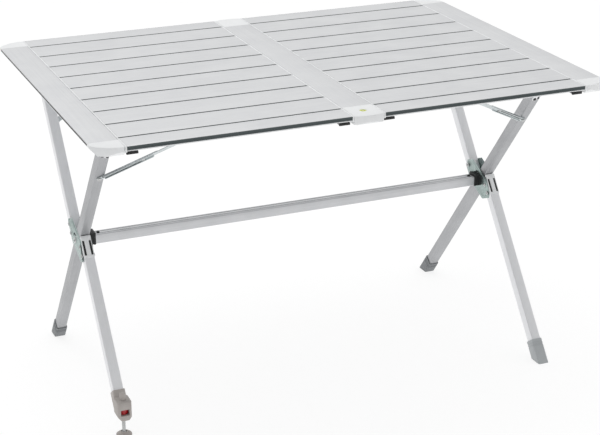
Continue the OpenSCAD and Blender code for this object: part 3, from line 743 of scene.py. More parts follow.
@dataclass
class SlatField:
    """Ten hollow slats between two rails, with their moulded ends and dark side strips of painted shade."""

    side: str
    inner_x: float = 33.0
    end_t: float = 4.0
    seam: float = 0.5
    thickness: float = 12.0
    edge_w: float = 58.0
    gap: float = 2.4
    count: int = 10
    shade_strip_t: float = 1.6
    shade_strip_inset: float = 0.2
    lip_h: float = 4.2
    edge_cut: float = 4.5
    wall_from_edge: float = 9.0
    half_web: float = 3.0

    def pitch(self) -> float:
        """Distance between the inner slats."""
        return (2 * HALF_D - 2 * self.edge_w) / (self.count - 2)

    def centre_y(self, index: int) -> float:
        """Middle of a slat.

        Args:
            index: the slat's number from the front.

        Returns:
            Its place along Y, in millimetres.
        """
        if index == 0:
            return -HALF_D + self.edge_w / 2 - self.gap / 4
        if index == self.count - 1:
            return HALF_D - self.edge_w / 2 + self.gap / 4
        return -HALF_D + self.edge_w + (index - 0.5) * self.pitch()

    def width(self, index: int) -> float:
        """Width of a slat.

        Args:
            index: the slat's number from the front.

        Returns:
            The width in millimetres.
        """
        if index in (0, self.count - 1):
            return self.edge_w - self.gap / 2
        return self.pitch() - self.gap

    def slat(self, width: float) -> bpy.types.Object:
        """Models a slat about the X axis, with soft top edges, side grooves and ribs below.

        Args:
            width: in millimetres.

        Returns:
            The piece, at the right of the table.
        """
        x0, x1 = self.inner_x + self.end_t, FIELD_OUT - self.end_t
        z0, z1 = SLAT_Z, SLAT_Z + self.thickness
        half = width / 2 - self.shade_strip_t
        piece = block("slat_pattern", (x0, -half, z0), (x1, half, z1))
        if width < self.edge_w:
            for way in (-1, 1):
                trim(piece, (0, way * half, z0 + self.edge_cut), (0, way, -1))
        wall = half - self.wall_from_edge
        for y in (-wall, -self.half_web, self.half_web, wall):
            score(piece, (0, y, 0), DEEP)
        sink(piece, lambda m, n: n.z < -0.9 and self.half_web < abs(m.y) < wall, 1.5, 1.2)
        sink(piece, lambda m, n: abs(n.y) > 0.9 and abs(m.y) > half - 0.1, 2.8, 1.0)
        with editing(piece, "EDGE"):
            pick_edges(
                piece,
                lambda m, way: abs(way.x) > 0.99 and abs(m.y) > half - 0.1 and m.z > z1 - 0.1,
            )
            round_picked(0.6, 3)
        return piece

    def shade_strip(self, width: float) -> bpy.types.Object:
        """Models the dark strip in the front side of a slat, painted shade for the gap in front of it, and
        for the top's front edge on the first slat.

        Args:
            width: width of its slat, in millimetres.

        Returns:
            The piece, at the right of the table.
        """
        x0 = self.inner_x + self.end_t + self.shade_strip_inset
        x1 = FIELD_OUT - self.end_t - self.shade_strip_inset
        y, z0, z1 = -width / 2, SLAT_Z + self.lip_h, SLAT_Z + self.thickness - 0.5
        piece = block("shade_strip_pattern", (x0, y, z0), (x1, y + self.shade_strip_t, z1))
        line = (z0 + 3.0, z0 + 3.8)
        for z in line:
            score(piece, (0, 0, z), UP)
        sink(piece, lambda m, n: n.y < -0.9 and line[0] < m.z < line[1], 0.0, 0.35)
        pull(piece, lambda m, n: n.y > 0.9 and z0 < m.z < line[0], (0, 0.7, 0))
        return soften(piece, 0.25, 2, 50)

    def end_piece(self, width: float, x: float) -> bpy.types.Object:
        """Models the white moulded end of a slat.

        Args:
            width: in millimetres.
            x: its lower face along the table.

        Returns:
            The piece.
        """
        z0, z1 = SLAT_Z, SLAT_Z + self.thickness
        piece = block("end_pattern", (x, -width / 2, z0), (x + self.end_t - self.seam, width / 2, z1))
        sink(piece, lambda m, n: n.z < -0.9, 1.0, 2.0)
        return soften(piece, 0.5)

    def build(self) -> None:
        """Builds the field's slats, ends and strips."""
        mirror = on_side(self.side)
        node = f"slats_{self.side}"
        patterns = {}
        for index in range(self.count):
            width, y = self.width(index), self.centre_y(index)
            if width not in patterns:
                patterns[width] = (
                    self.slat(width),
                    self.shade_strip(width),
                    self.end_piece(width + 1.0, self.inner_x + self.seam),
                    self.end_piece(width + 1.0, FIELD_OUT - self.end_t),
                )
            slat, shade_strip, inner, outer = patterns[width]
            number = f"{index + 1:02d}_{self.side}"
            piece = placed(copied(slat, f"slat_{number}", (0, y, 0)), mirror)
            dress(piece, ANODISED, "top", (node,), Lay.ALONG_X)
            # Dark strip before each slat: painted shade in the gap, and on the top's front edge for the first
            # slat
            piece = placed(copied(shade_strip, f"slat_strip_{number}", (0, y, 0)), mirror)
            dress(piece, SHADE_STRIP_SLATE, "top", (), Lay.ALONG_X)
            for where, end in (("inner", inner), ("outer", outer)):
                shift = math.copysign(0.5, -y) if index in (0, self.count - 1) else 0.0
                piece = placed(copied(end, f"slat_end_{where}_{number}", (0, y + shift, 0)), mirror)
                dress(piece, WHITE_ABS, "top", ("slat_end_pieces",))
        # Dark strip on the back face of the last slat: painted shade on the top's back edge
        back = copied(patterns[self.width(0)][1], f"back_strip_{self.side}")
        y = self.centre_y(self.count - 1)
        placed(back, mirror @ Matrix.Translation(mm(0, y, 0)) @ Matrix.Scale(-1, 4, DEEP))
        dress(back, SHADE_STRIP_SLATE, "top", (), Lay.ALONG_X)
        for pattern in patterns.values():
            for piece in pattern:
                bpy.data.objects.remove(piece)


@dataclass
class Rails:
    """The three rails of the top."""

    middle_w: float = 66.0
    end_cap_l: float = 46.0
    middle_cap_l: float = 62.0
    ledge_w: float = 36.0
    ledge_t: float = 2.5
    edge_h: float = 6.0
    undercut_w: float = 26.0

    def ledge(self, piece: bpy.types.Object, x: float, way: int) -> None:
        """Draws the ledge for the slat ends out of a rail's side.

        Args:
            piece: the rail.
            x: the side's place.
            way: 1 or -1 along X.
        """
        low = SLAT_Z - self.ledge_t
        for z in (low, SLAT_Z):
            score(piece, (0, 0, z), UP)
        pull(
            piece, lambda m, n: n.x * way > 0.9 and abs(m.x - x) < 0.5 and low < m.z < SLAT_Z,
            (way * self.ledge_w, 0, 0),
        )

    def undercut(self, piece: bpy.types.Object) -> bpy.types.Object:
        """Cuts the slanted underside below the table's end, on the right.

        Args:
            piece: the end rail or corner cap.

        Returns:
            The piece.
        """
        rise = TOP_Z - self.edge_h - RAIL_Z
        return trim(piece, (HALF_L, 0, TOP_Z - self.edge_h), (rise, 0, -self.undercut_w))

    def top_edges(self, piece: bpy.types.Object, radius: float) -> None:
        """Rounds the two long top edges of a rail.

        Args:
            piece: the rail.
            radius: edge radius in millimetres.
        """
        with editing(piece, "EDGE"):
            pick_edges(piece, lambda m, way: abs(way.y) > 0.99 and m.z > TOP_Z - 0.1)
            round_picked(radius, 3)

    def end_rail(self, side: str) -> None:
        """Builds an end rail and the dark strip in its outer side, painted shade for that side.

        Args:
            side: left or right.
        """
        half = HALF_D - self.end_cap_l
        piece = block(f"end_rail_{side}", (FIELD_OUT, -half, RAIL_Z), (HALF_L, half, TOP_Z))
        self.ledge(piece, FIELD_OUT, -1)
        self.undercut(piece)
        sink(piece, lambda m, n: n.x > 0.99 and m.x > HALF_L - 0.1, 1.2, 0.9)
        self.top_edges(piece, 0.9)
        placed(piece, on_side(side))
        dress(piece, ANODISED, "top", (f"rail_{side}",), Lay.ALONG_Y)
        # The black strip on the rail's outer side is painted shade: that side faces away from the light
        inset, low = 1.3, TOP_Z - self.edge_h
        shade_strip = block(
            f"end_strip_{side}", (HALF_L - 0.9, -half + inset, low + 0.7),
            (HALF_L - 0.05, half - inset, TOP_Z - inset),
        )
        pull(shade_strip, lambda m, n: n.z < -0.9, (-0.3, 0, -0.4))
        soften(shade_strip, 0.25)
        dress(placed(shade_strip, on_side(side)), BLACK_NYLON_AND_SHADE, "top")

    def middle_rail(self) -> None:
        """Builds the middle rail."""
        half = HALF_D - self.middle_cap_l
        x = self.middle_w / 2
        piece = block("middle_rail", (-x, -half, RAIL_Z), (x, half, TOP_Z))
        self.ledge(piece, x, 1)
        self.ledge(piece, -x, -1)
        self.top_edges(piece, 0.8)
        dress(piece, ANODISED, "top", ("rail_middle",), Lay.ALONG_Y)

    def build(self) -> None:
        """Builds the rails."""
        for side in SIDES:
            self.end_rail(side)
        self.middle_rail()


@dataclass
class Caps:
    """The six moulded caps of the rails."""

    middle_w: float = 66.0
    end_cap_l: float = 46.0
    middle_cap_l: float = 62.0
    corner_w: float = 48.0
    corner_d: float = 32.0
    corner_face_h: float = 10.5
    middle_face_h: float = 14.5
    undercut: float = 24.0
    wall: float = 2.2
    vial_r: float = 8.1

    def finish_shape(self, piece: bpy.types.Object, front: float, face_h: float, kept: FaceTest) -> None:
        """Cuts the undercut below the front, hollows the underside and rounds the outer top edge.

        Args:
            piece: the cap.
            front: the front's place along Y.
            face_h: height of the front face.
            kept: test of the top edges that stay sharp, by middle and direction.
        """
        drop = TOP_Z - face_h - RAIL_Z
        trim(piece, (0, front, TOP_Z - face_h), (0, -drop, -self.undercut))
        sink(piece, lambda m, n: n.z < -0.99, self.wall, 8.0)
        with editing(piece, "EDGE"):
            pick_edges(piece, lambda m, way: m.z > TOP_Z - 0.1 and not kept(m, way))
            round_picked(1.5, 3)

    def corner(self, name: str) -> bpy.types.Object:
        """Models a corner cap at the front right.

        Args:
            name: the piece's name.

        Returns:
            The piece.
        """
        y0, y1 = -HALF_D, -HALF_D + self.end_cap_l
        w, d = self.corner_w, self.corner_d
        outline = [
            (FIELD_OUT, y0 + 3), (FIELD_OUT + 3, y0), (HALF_L - w, y0), (HALF_L - 0.58 * w, y0 + 0.2 * d),
            (HALF_L - 0.2 * w, y0 + 0.6 * d), (HALF_L, y0 + d), (HALF_L, y1), (FIELD_OUT, y1),
        ]
        piece = prism(name, "Z", RAIL_Z, TOP_Z, outline)
        Rails().undercut(piece)
        self.finish_shape(piece, y0, self.corner_face_h, lambda m, way: m.y > y1 - 1 or m.x < FIELD_OUT + 2)
        return piece

    def middle(self, name: str, vial: bool) -> bpy.types.Object:
        """Models a middle cap at the front.

        Args:
            name: the piece's name.
            vial: whether it has a seat for the bubble level.

        Returns:
            The piece.
        """
        w, y0, y1, front = self.middle_w, -HALF_D, -HALF_D + self.middle_cap_l, -BULGE_Y
        shoulder = front + 0.4 * (y0 - front)
        outline = [
            (-w / 2, y0), (-0.36 * w, shoulder), (-0.16 * w, front), (0.16 * w, front), (0.36 * w, shoulder),
            (w / 2, y0), (w / 2, y1), (-w / 2, y1),
        ]
        piece = prism(name, "Z", RAIL_Z, TOP_Z, outline)
        self.finish_shape(
            piece, front, self.middle_face_h, lambda m, way: m.y > y1 - 1 or abs(m.x) > w / 2 - 0.5
        )
        if vial:
            hole = rod("hole", (0, (y0 + y1) / 2, TOP_Z), self.vial_r, 9.6, sides=48)
            combine(piece, hole, "DIFFERENCE")
        return piece

    def build(self) -> None:
        """Builds the six caps."""
        for row, flip in (("front", 1), ("back", -1)):
            turn = Matrix.Scale(flip, 4, DEEP)
            for side in SIDES:
                piece = placed(self.corner(f"corner_cap_{row}_{side}"), turn @ on_side(side))
                dress(piece, WHITE_ABS, "top", (f"cap_{row}_{side}",))
            piece = placed(self.middle(f"middle_cap_{row}", row == "front"), turn)
            dress(piece, WHITE_ABS, "top", (f"cap_{row}_middle",))


@dataclass
class BubbleLevel:
    """Round bubble level in the front middle cap."""

    radius: float = 8.0
    cap_l: float = 62.0
    rim: float = 0.8
    bubble_r: float = 2.6

    def build(self) -> None:
        """Builds the vial, its rim, the target ring and the bubble."""
        y = -HALF_D + self.cap_l / 2
        vial = rod("level_vial", (0, y, TOP_Z - 2.4), self.radius - self.rim, 4.2, sides=48)
        with editing(vial, "EDGE"):
            pick_edges(vial, lambda m, way: m.z > TOP_Z - 0.4)
            round_picked(1.2, 4)
        dress(vial, VIAL_LIQUID, "top", ("bubble_level",))
        rim = rod("level_rim", (0, y, TOP_Z - 2.2), self.radius, 4.2, sides=48)
        bore = rod("bore", (0, y, TOP_Z), self.radius - self.rim, 12, sides=48)
        soften(combine(rim, bore, "DIFFERENCE"), 0.25, 2)
        dress(rim, WHITE_ABS, "top")
        ring = rod("level_ring", (0, y, TOP_Z - 0.25), self.bubble_r + 1.0, 0.14, sides=40)
        bore = rod("bore", (0, y, TOP_Z), self.bubble_r + 0.5, 4, sides=40)
        dress(combine(ring, bore, "DIFFERENCE"), DARK_STEEL, "top")
        bpy.ops.object.select_all(action="DESELECT")
        bpy.ops.mesh.primitive_uv_sphere_add(
            segments=24, ring_count=12, radius=self.bubble_r * MM, location=mm(0.6, y + 0.4, TOP_Z - 0.5)
        )
        bubble = settle("level_bubble", Vector((1, 1, 0.2)))
        dress(bubble, VIAL_BUBBLE, "top")


@dataclass
class Underside:
    """Clips, stay catches, head seats and cords under the top."""

    clip_l: float = 24.0
    clip_d: float = 16.0
    clip_t: float = 3.6
    ledge_t: float = 2.5
    seat_l: float = 44.0
    catch_half: float = 10.0
    catch_reach: float = 16.0

    def clips(self) -> None:
        """Builds the eight dark clips under the edge slats."""
        ledge_z = SLAT_Z - self.ledge_t
        for side in SIDES:
            for row, flip in (("front", -1), ("back", 1)):
                for place, x in (("inner", 38.0), ("outer", FIELD_OUT - self.clip_l - 5)):
                    y1 = HALF_D - 9
                    piece = block(
                        f"slat_clip_{row}_{place}_{side}", (x, y1 - self.clip_d, ledge_z - self.clip_t),
                        (x + self.clip_l, y1, ledge_z),
                    )
                    score(piece, (0, y1 - 4, 0), DEEP)
                    pull(piece, lambda m, n: n.z < -0.9 and m.y > y1 - 4, (0, 0, -1.8))
                    soften(piece, 0.7)
                    placed(piece, on_side(side) @ Matrix.Scale(flip, 4, DEEP))
                    dress(piece, BLACK_NYLON_AND_SHADE, "top", ("slat_clips",))

    def catches(self) -> None:
        """Builds the four plates with the pins that the stays hook on."""
        low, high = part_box("stay_catches")
        pin_z = low.z / MM + 5
        half, reach = self.catch_half, self.catch_reach
        x = high.x / MM - half
        for side in SIDES:
            for row, flip, y in (("front", -1, -low.y / MM - reach), ("back", 1, high.y / MM - reach)):
                piece = block(
                    f"stay_catch_{row}_{side}", (x - half, y - half, SLAT_Z - 2),
                    (x + half, y + reach, SLAT_Z),
                )
                round_along(piece, UP, 3.0)
                bracket = block("bracket", (x - 6, y + reach - 4, pin_z - 5), (x + 6, y + reach, SLAT_Z - 1))
                soften(combine(piece, bracket, "UNION"), 0.4)
                placed(piece, on_side(side) @ Matrix.Scale(flip, 4, DEEP))
                dress(piece, BLUE_ZINC, "top", ("stay_catches",))
                pin = rod(f"stay_pin_{row}_{side}", (x, y + 3, pin_z), 2.5, 22, "Y", 24)
                placed(soften(pin, 0.5), on_side(side) @ Matrix.Scale(flip, 4, DEEP))
                dress(pin, BRIGHT_STEEL, "top")

    def seats(self) -> None:
        """Builds the four seats over the leg heads."""
        low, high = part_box("head_seats")
        inner_x = HUB_X - LEG_W / 2 - 2
        for side in SIDES:
            for row, y0 in (("front", low.y / MM), ("back", high.y / MM - self.seat_l)):
                y1 = y0 + self.seat_l
                piece = block(
                    f"head_seat_{row}_{side}", (inner_x, y0, SEAT_Z), (inner_x + LEG_W + 4, y1, RAIL_Z)
                )
                step = block("step", (inner_x, y0, RAIL_Z - 2), (FIELD_OUT, y1, SLAT_Z - self.ledge_t))
                combine(piece, step, "UNION")
                soften(piece, 1.0)
                dress(placed(piece, on_side(side)), WHITE_ABS, "top", ("head_seats",))

    def build(self) -> None:
        """Builds what is under the top."""
        self.clips()
        self.catches()
        self.seats()
        dress_cad("slat_cords", ELASTIC, Lay.ALONG_Y)


# ---------- the legs ----------


def tube(name: str, width: float, y: float, s0: float, s1: float) -> bpy.types.Object:
    """Models a leg tube with rounded corners in a leg's frame.

    Args:
        name: the piece's name.
        width: along X, in millimetres.
        y: offset of its middle across the leg.
        s0: lower end along the leg.
        s1: upper end along the leg.

    Returns:
        The piece.
    """
    piece = block(name, (-width / 2, y - LEG_D / 2, s0), (width / 2, y + LEG_D / 2, s1))
    return round_along(piece, UP, LEG_ROUND, 4)


@dataclass
class Head:
    """Moulded head of a leg with its ear, snap pin and screw."""

    ear_w: float = 11.0
    ear_t: float = 2.0
    pin_x: float = 5.0
    pin_s: float = -56.0
    pin_r: float = 3.6
    screw_r: float = 2.3

    def build(self, row: str, side: str, matrix: Matrix, width: float, body: str, nodes: tuple) -> None:
        """Builds the head, its ear and its fasteners.

        Args:
            row: front or back.
            side: left or right.
            matrix: the leg's frame, with the tube's middle at Y 0.
            width: width of the leg.
            body: the CAD body.
            nodes: CAD nodes of the head and of the fasteners.
        """
        face = -1 if row == "front" else 1
        piece = block(
            f"leg_head_{row}_{side}", (-width / 2, -LEG_D / 2, TUBE_TOP_S),
            (width / 2, LEG_D / 2, HEAD_S + 30),
        )
        round_along(piece, UP, LEG_ROUND, 4)
        y0, y1 = sorted((face * (LEG_D / 2 - 0.5), face * (LEG_D / 2 + self.ear_t)))
        pin_s, x0 = HEAD_S + self.pin_s, -width / 2 + 1
        ear = block("ear", (x0, y0, pin_s - 6), (x0 + self.ear_w, y1, HEAD_S + 14))
        round_along(ear, DEEP, 5.0, 5)
        combine(piece, ear, "UNION")
        placed(piece, matrix)
        trim(piece, (0, 0, SEAT_Z - 0.3), UP)
        soften(piece, 0.5, 2, 40)
        dress(piece, WHITE_ABS, body, nodes[:1])
        heads = (("snap_pin", -self.pin_x, self.pin_r, self.ear_t), ("screw", self.pin_x, self.screw_r, 0.0))
        for kind, x, radius, lift in heads:
            y = face * (LEG_D / 2 + lift + 0.8)
            head = rod(f"head_{kind}_{row}_{side}", (x, y, pin_s), radius, 1.6, "Y", 28)
            sink(head, lambda m, n: n.y * face > 0.9, radius * 0.42, 0.7)
            soften(head, 0.3)
            dress(placed(head, matrix), DARK_STEEL, body, nodes[1:])


@dataclass
class Boot:
    """Moulded boot on a leg end with ribs and a tread."""

    length: float = 48.0
    wall: float = 2.05

    def build(self, name: str, matrix: Matrix, width: float, body: str, node: str) -> None:
        """Builds a boot.

        Args:
            name: the piece's name.
            matrix: the leg's frame, with the tube's middle at Y 0.
            width: width of the leg.
            body: the CAD body.
            node: the CAD node that it replaces.
        """
        top_s = TUBE_END_S + self.length - 14
        x, y = width / 2 + self.wall, LEG_D / 2 + self.wall
        piece = block(name, (-x, -y, -(HUB_Z + LEG_D) / COS), (x, y, top_s))
        round_along(piece, UP, 3.2, 4)
        for s in (top_s - 3, top_s - 7, top_s - 9, top_s - 13, top_s - 15):
            score(piece, (0, 0, s), UP)
        for s in (top_s - 8, top_s - 14):
            sink(piece, lambda m, n, s=s: abs(m.z - s) < 0.9 and abs(n.z) < 0.1, 0.0, 0.7)
        placed(piece, matrix)
        trim(piece, (0, 0, 0), -UP)
        foot_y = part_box(node)[0 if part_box(node)[0].y < 0 else 1].y / MM
        inner = -math.copysign(1, foot_y)
        for i in range(4):
            for edge in (0, 3):
                score(piece, (0, foot_y + inner * (9 + i * 7 + edge), 0), DEEP)
        centres = [foot_y + inner * (10.5 + i * 7) for i in range(4)]
        sink(
            piece, lambda m, n: n.z < -0.9 and m.z < 1 and min(abs(m.y - c) for c in centres) < 1.2, 0.0, 1.2
        )
        soften(piece, 0.5, 2, 50)
        finish = PALE_PP if foot_y < 0 else GREY_PP
        dress(piece, finish, body, (node,))


@dataclass
class Legs:
    """The two crossed legs of one end of the table."""

    side: str
    mitre: float = LEG_D / 2 + 1.5
    collar_t: float = 2.0
    level_tube_s: float = -372.0

    def half_leg(self, end: int, far_s: float) -> bpy.types.Object:
        """Models one tube of the two-part leg, mitred at the hub.

        Args:
            end: 1 for the upper tube, -1 for the lower one.
            far_s: its far end along the leg.

        Returns:
            The piece, in the two-part leg's frame.
        """
        level = "upper" if end > 0 else "lower"
        y = end * HALF_LEG_OFFSET
        piece = tube(f"half_leg_tube_{level}_{self.side}", HALF_LEG_W, y, *sorted((-end * 50.0, far_s)))
        away = Vector((0, math.cos(2 * TILT), math.sin(2 * TILT))) * end
        point = away * (self.mitre + self.collar_t)
        return trim(piece, tuple(point), -away)

    def build(self) -> None:
        """Builds the tubes, heads and boots."""
        side, body, fixed, slot = self.side, f"leg_{self.side}", "crossed_frame", "leg_aluminium"
        straight, split = straight_frame(side), split_frame(side)
        # Painted shade: the one-piece leg's tube takes the darker-painted anodising
        piece = placed(tube(f"straight_leg_tube_{side}", LEG_W, 0, TUBE_END_S, TUBE_TOP_S), straight)
        dress(piece, TUBE_PAINTED_DARKER, body, (f"straight_leg_{side}",), Lay.UP_STRAIGHT_LEG)
        # Painted light: the two-part leg's tubes take the lighter-painted anodising
        upper = placed(self.half_leg(1, TUBE_TOP_S + HALF_LEG_SHIFT), split)
        dress(upper, TUBE_PAINTED_LIGHTER, fixed, (f"half_leg_upper_{side}",), Lay.UP_SPLIT_LEG)
        low_s = self.level_tube_s if side == "left" else TUBE_END_S - HALF_LEG_SHIFT
        lower = placed(self.half_leg(-1, low_s), split)
        dress(lower, TUBE_PAINTED_LIGHTER, fixed, (f"half_leg_lower_{side}",), Lay.UP_SPLIT_LEG)
        front_nodes = (f"leg_head_front_{side}", f"fasteners_front_{side}")
        back_nodes = (f"leg_head_back_{side}", "fasteners_back")
        back = split @ Matrix.Translation(mm(0, HALF_LEG_OFFSET, HALF_LEG_SHIFT))
        Head().build("front", side, straight, LEG_W, body, front_nodes)
        Head().build("back", side, back, HALF_LEG_W, fixed, back_nodes)
        Boot().build(f"back_boot_{side}", straight, LEG_W, body, f"boot_back_{side}")
        if side == "right":
            front = split @ Matrix.Translation(mm(0, -HALF_LEG_OFFSET, -HALF_LEG_SHIFT))
            Boot().build("front_boot_right", front, HALF_LEG_W, fixed, "boot_front_right")


@dataclass
class Hub:
    """Hub of one end: two plates, collars, rivets and pins."""

    side: str
    plate_outline: tuple = ((26, 59), (35, 50), (40, 16), (-26, -59), (-35, -50), (-40, -16))
    plate_t: float = 2.0
    pivot_r: float = 4.0
    stop_r: float = 14.0
    stop_pin_r: float = 2.5
    rivet_r: float = 2.5
    rivet_head_r: float = 4.6
    rivet_head_t: float = 1.8
    collar_l: float = 54.0
    collar_t: float = 2.0
    slot_x: float = 7.4

    def plate(self, name: str, x: float, outer: bool) -> bpy.types.Object:
        """Models a pressed plate with its arc slot.

        Args:
            name: the piece's name.
            x: middle of its thickness.
            outer: whether it faces outwards.

        Returns:
            The piece, in the two-part leg's frame.
        """
        half_t = self.plate_t / 2
        piece = prism(name, "X", x - half_t, x + half_t, list(self.plate_outline))
        way = 1 if outer else -1
        round_along(piece, ACROSS, 2.5, 3)
        sink(piece, lambda m, n: n.x * way > 0.9, 4.5, -0.7)
        combine(piece, self.slot_cutter(x), "DIFFERENCE")
        return soften(piece, 0.35, 2, 40)

    def slot_cutter(self, x: float) -> bpy.types.Object:
        """Makes a solid of the arc slot that the stop pin runs in.

        Args:
            x: middle of the plate.

        Returns:
            The cutter.
        """
        width = self.stop_pin_r + 0.3
        over = math.asin(width / self.stop_r)
        cutter = rod("slot", (x, 0, 0), self.stop_r + width, 8, "X", 64)
        combine(cutter, rod("core", (x, 0, 0), self.stop_r - width, 12, "X", 48), "DIFFERENCE")
        first, last = -over, 2 * TILT + over
        trim(cutter, (x, 0, 0), (0, math.cos(first), math.sin(first)))
        return trim(cutter, (x, 0, 0), (0, -math.cos(last), -math.sin(last)))

    def headed(
        self, name: str, y: float, s: float, radius: float, head_r: float, head_t: float
    ) -> bpy.types.Object:
        """Models a tubular rivet: a shank with two rolled heads.

        Args:
            name: the piece's name.
            y: place across the leg.
            s: place along the leg.
            radius: radius of the shank.
            head_r: radius of the heads.
            head_t: thickness of the heads.

        Returns:
            The piece, in the two-part leg's frame.
        """
        reach = PLATE_X + self.plate_t
        piece = rod(name, (0, y, s), radius, 2 * reach - 0.2, "X", 24)
        for way in (-1, 1):
            head = rod("head", (way * (reach + head_t / 2), y, s), head_r, head_t + 0.1, "X", 28)
            sink(head, lambda m, n, way=way: n.x * way > 0.9, head_r * 0.45, 1.0)
            with editing(head, "EDGE"):
                pick_edges(
                    head, lambda m, d, way=way: m.x * way > reach + head_t - 0.1
                    and math.hypot(m.y - y, m.z - s) > head_r * 0.8
                )
                round_picked(0.8, 3)
            combine(piece, head, "UNION")
        return piece

    def collar(self, name: str) -> bpy.types.Object:
        """Models the cast collar on the lower half leg's end, with two slots in its face.

        Args:
            name: the piece's name.

        Returns:
            The piece, in the two-part leg's frame.
        """
        face = -HALF_LEG_OFFSET - LEG_D / 2
        half = HALF_LEG_W / 2
        piece = block(name, (-half, face - self.collar_t, -self.collar_l), (half, face, 12))
        cover = block("cover", (-half, face - 0.1, -50), (half, face + LEG_D, 40))
        away = Vector((0, -math.cos(2 * TILT), -math.sin(2 * TILT)))
        trim(cover, tuple(away * (LEG_D / 2 + 1.5 + self.collar_t)), tuple(away))
        combine(piece, cover, "UNION")
        trim(piece, tuple(away * (LEG_D / 2 + 1.5)), tuple(-away))
        for x in (-self.slot_x, self.slot_x):
            slot = block("slot", (x - 2.5, face - 5, -self.collar_l + 5), (x + 2.5, face - 0.5, -15))
            round_along(slot, DEEP, 1.6, 3)
            combine(piece, slot, "DIFFERENCE")
        return soften(piece, 0.45, 2, 40)

    def build(self) -> None:
        """Builds the hub's pieces."""
        side, matrix, body = self.side, split_frame(self.side), "crossed_frame"
        middle = PLATE_X + self.plate_t / 2
        for name, x in (("outer", middle), ("inner", -middle)):
            piece = placed(self.plate(f"hub_plate_{name}_pressed_{side}", x, name == "outer"), matrix)
            dress(piece, GREEN_ZINC, body, (f"hub_plate_{name}_{side}",))
        rivets = [(end, s) for end in (-1, 1) for s in (46.0, 25.0)]
        for number, (end, s) in enumerate(rivets, 1):
            name = f"hub_rivet_{number}_{side}"
            rivet = self.headed(
                name, end * HALF_LEG_OFFSET, end * s, self.rivet_r, self.rivet_head_r, self.rivet_head_t
            )
            dress(placed(rivet, matrix), BRIGHT_STEEL, body, ("hub_rivets",))
        pivot = self.headed(f"hub_pivot_{side}", 0, 0, self.pivot_r, 7.0, 2.4)
        dress(placed(pivot, matrix), BRIGHT_STEEL, body, ("hub_pivot_pins",))
        face = -HALF_LEG_OFFSET - LEG_D / 2
        for name, turn in (("lower", 0.0), ("upper", math.pi)):
            own = matrix @ Matrix.Rotation(turn, 4, "X")
            piece = placed(self.collar(f"hub_collar_{name}_{side}"), own)
            dress(piece, WHITE_ABS, body, (f"hub_collars_{side}",))
            # Black blocks behind the collar's slots: painted shade inside the slots
            for place, x in (("a", -self.slot_x), ("b", self.slot_x)):
                slot_shade = block(
                    f"collar_slot_{name}_{place}_{side}", (x - 2.4, face - 0.8, -48.6),
                    (x + 2.4, face - 0.3, -15.4),
                )
                round_along(slot_shade, DEEP, 1.4, 3)
                dress(placed(slot_shade, own), BLACK_NYLON_AND_SHADE, body)
        dress_cad(f"stop_pin_{side}", BRIGHT_STEEL)
        dress_cad(f"pivot_bush_{side}", WHITE_ABS)


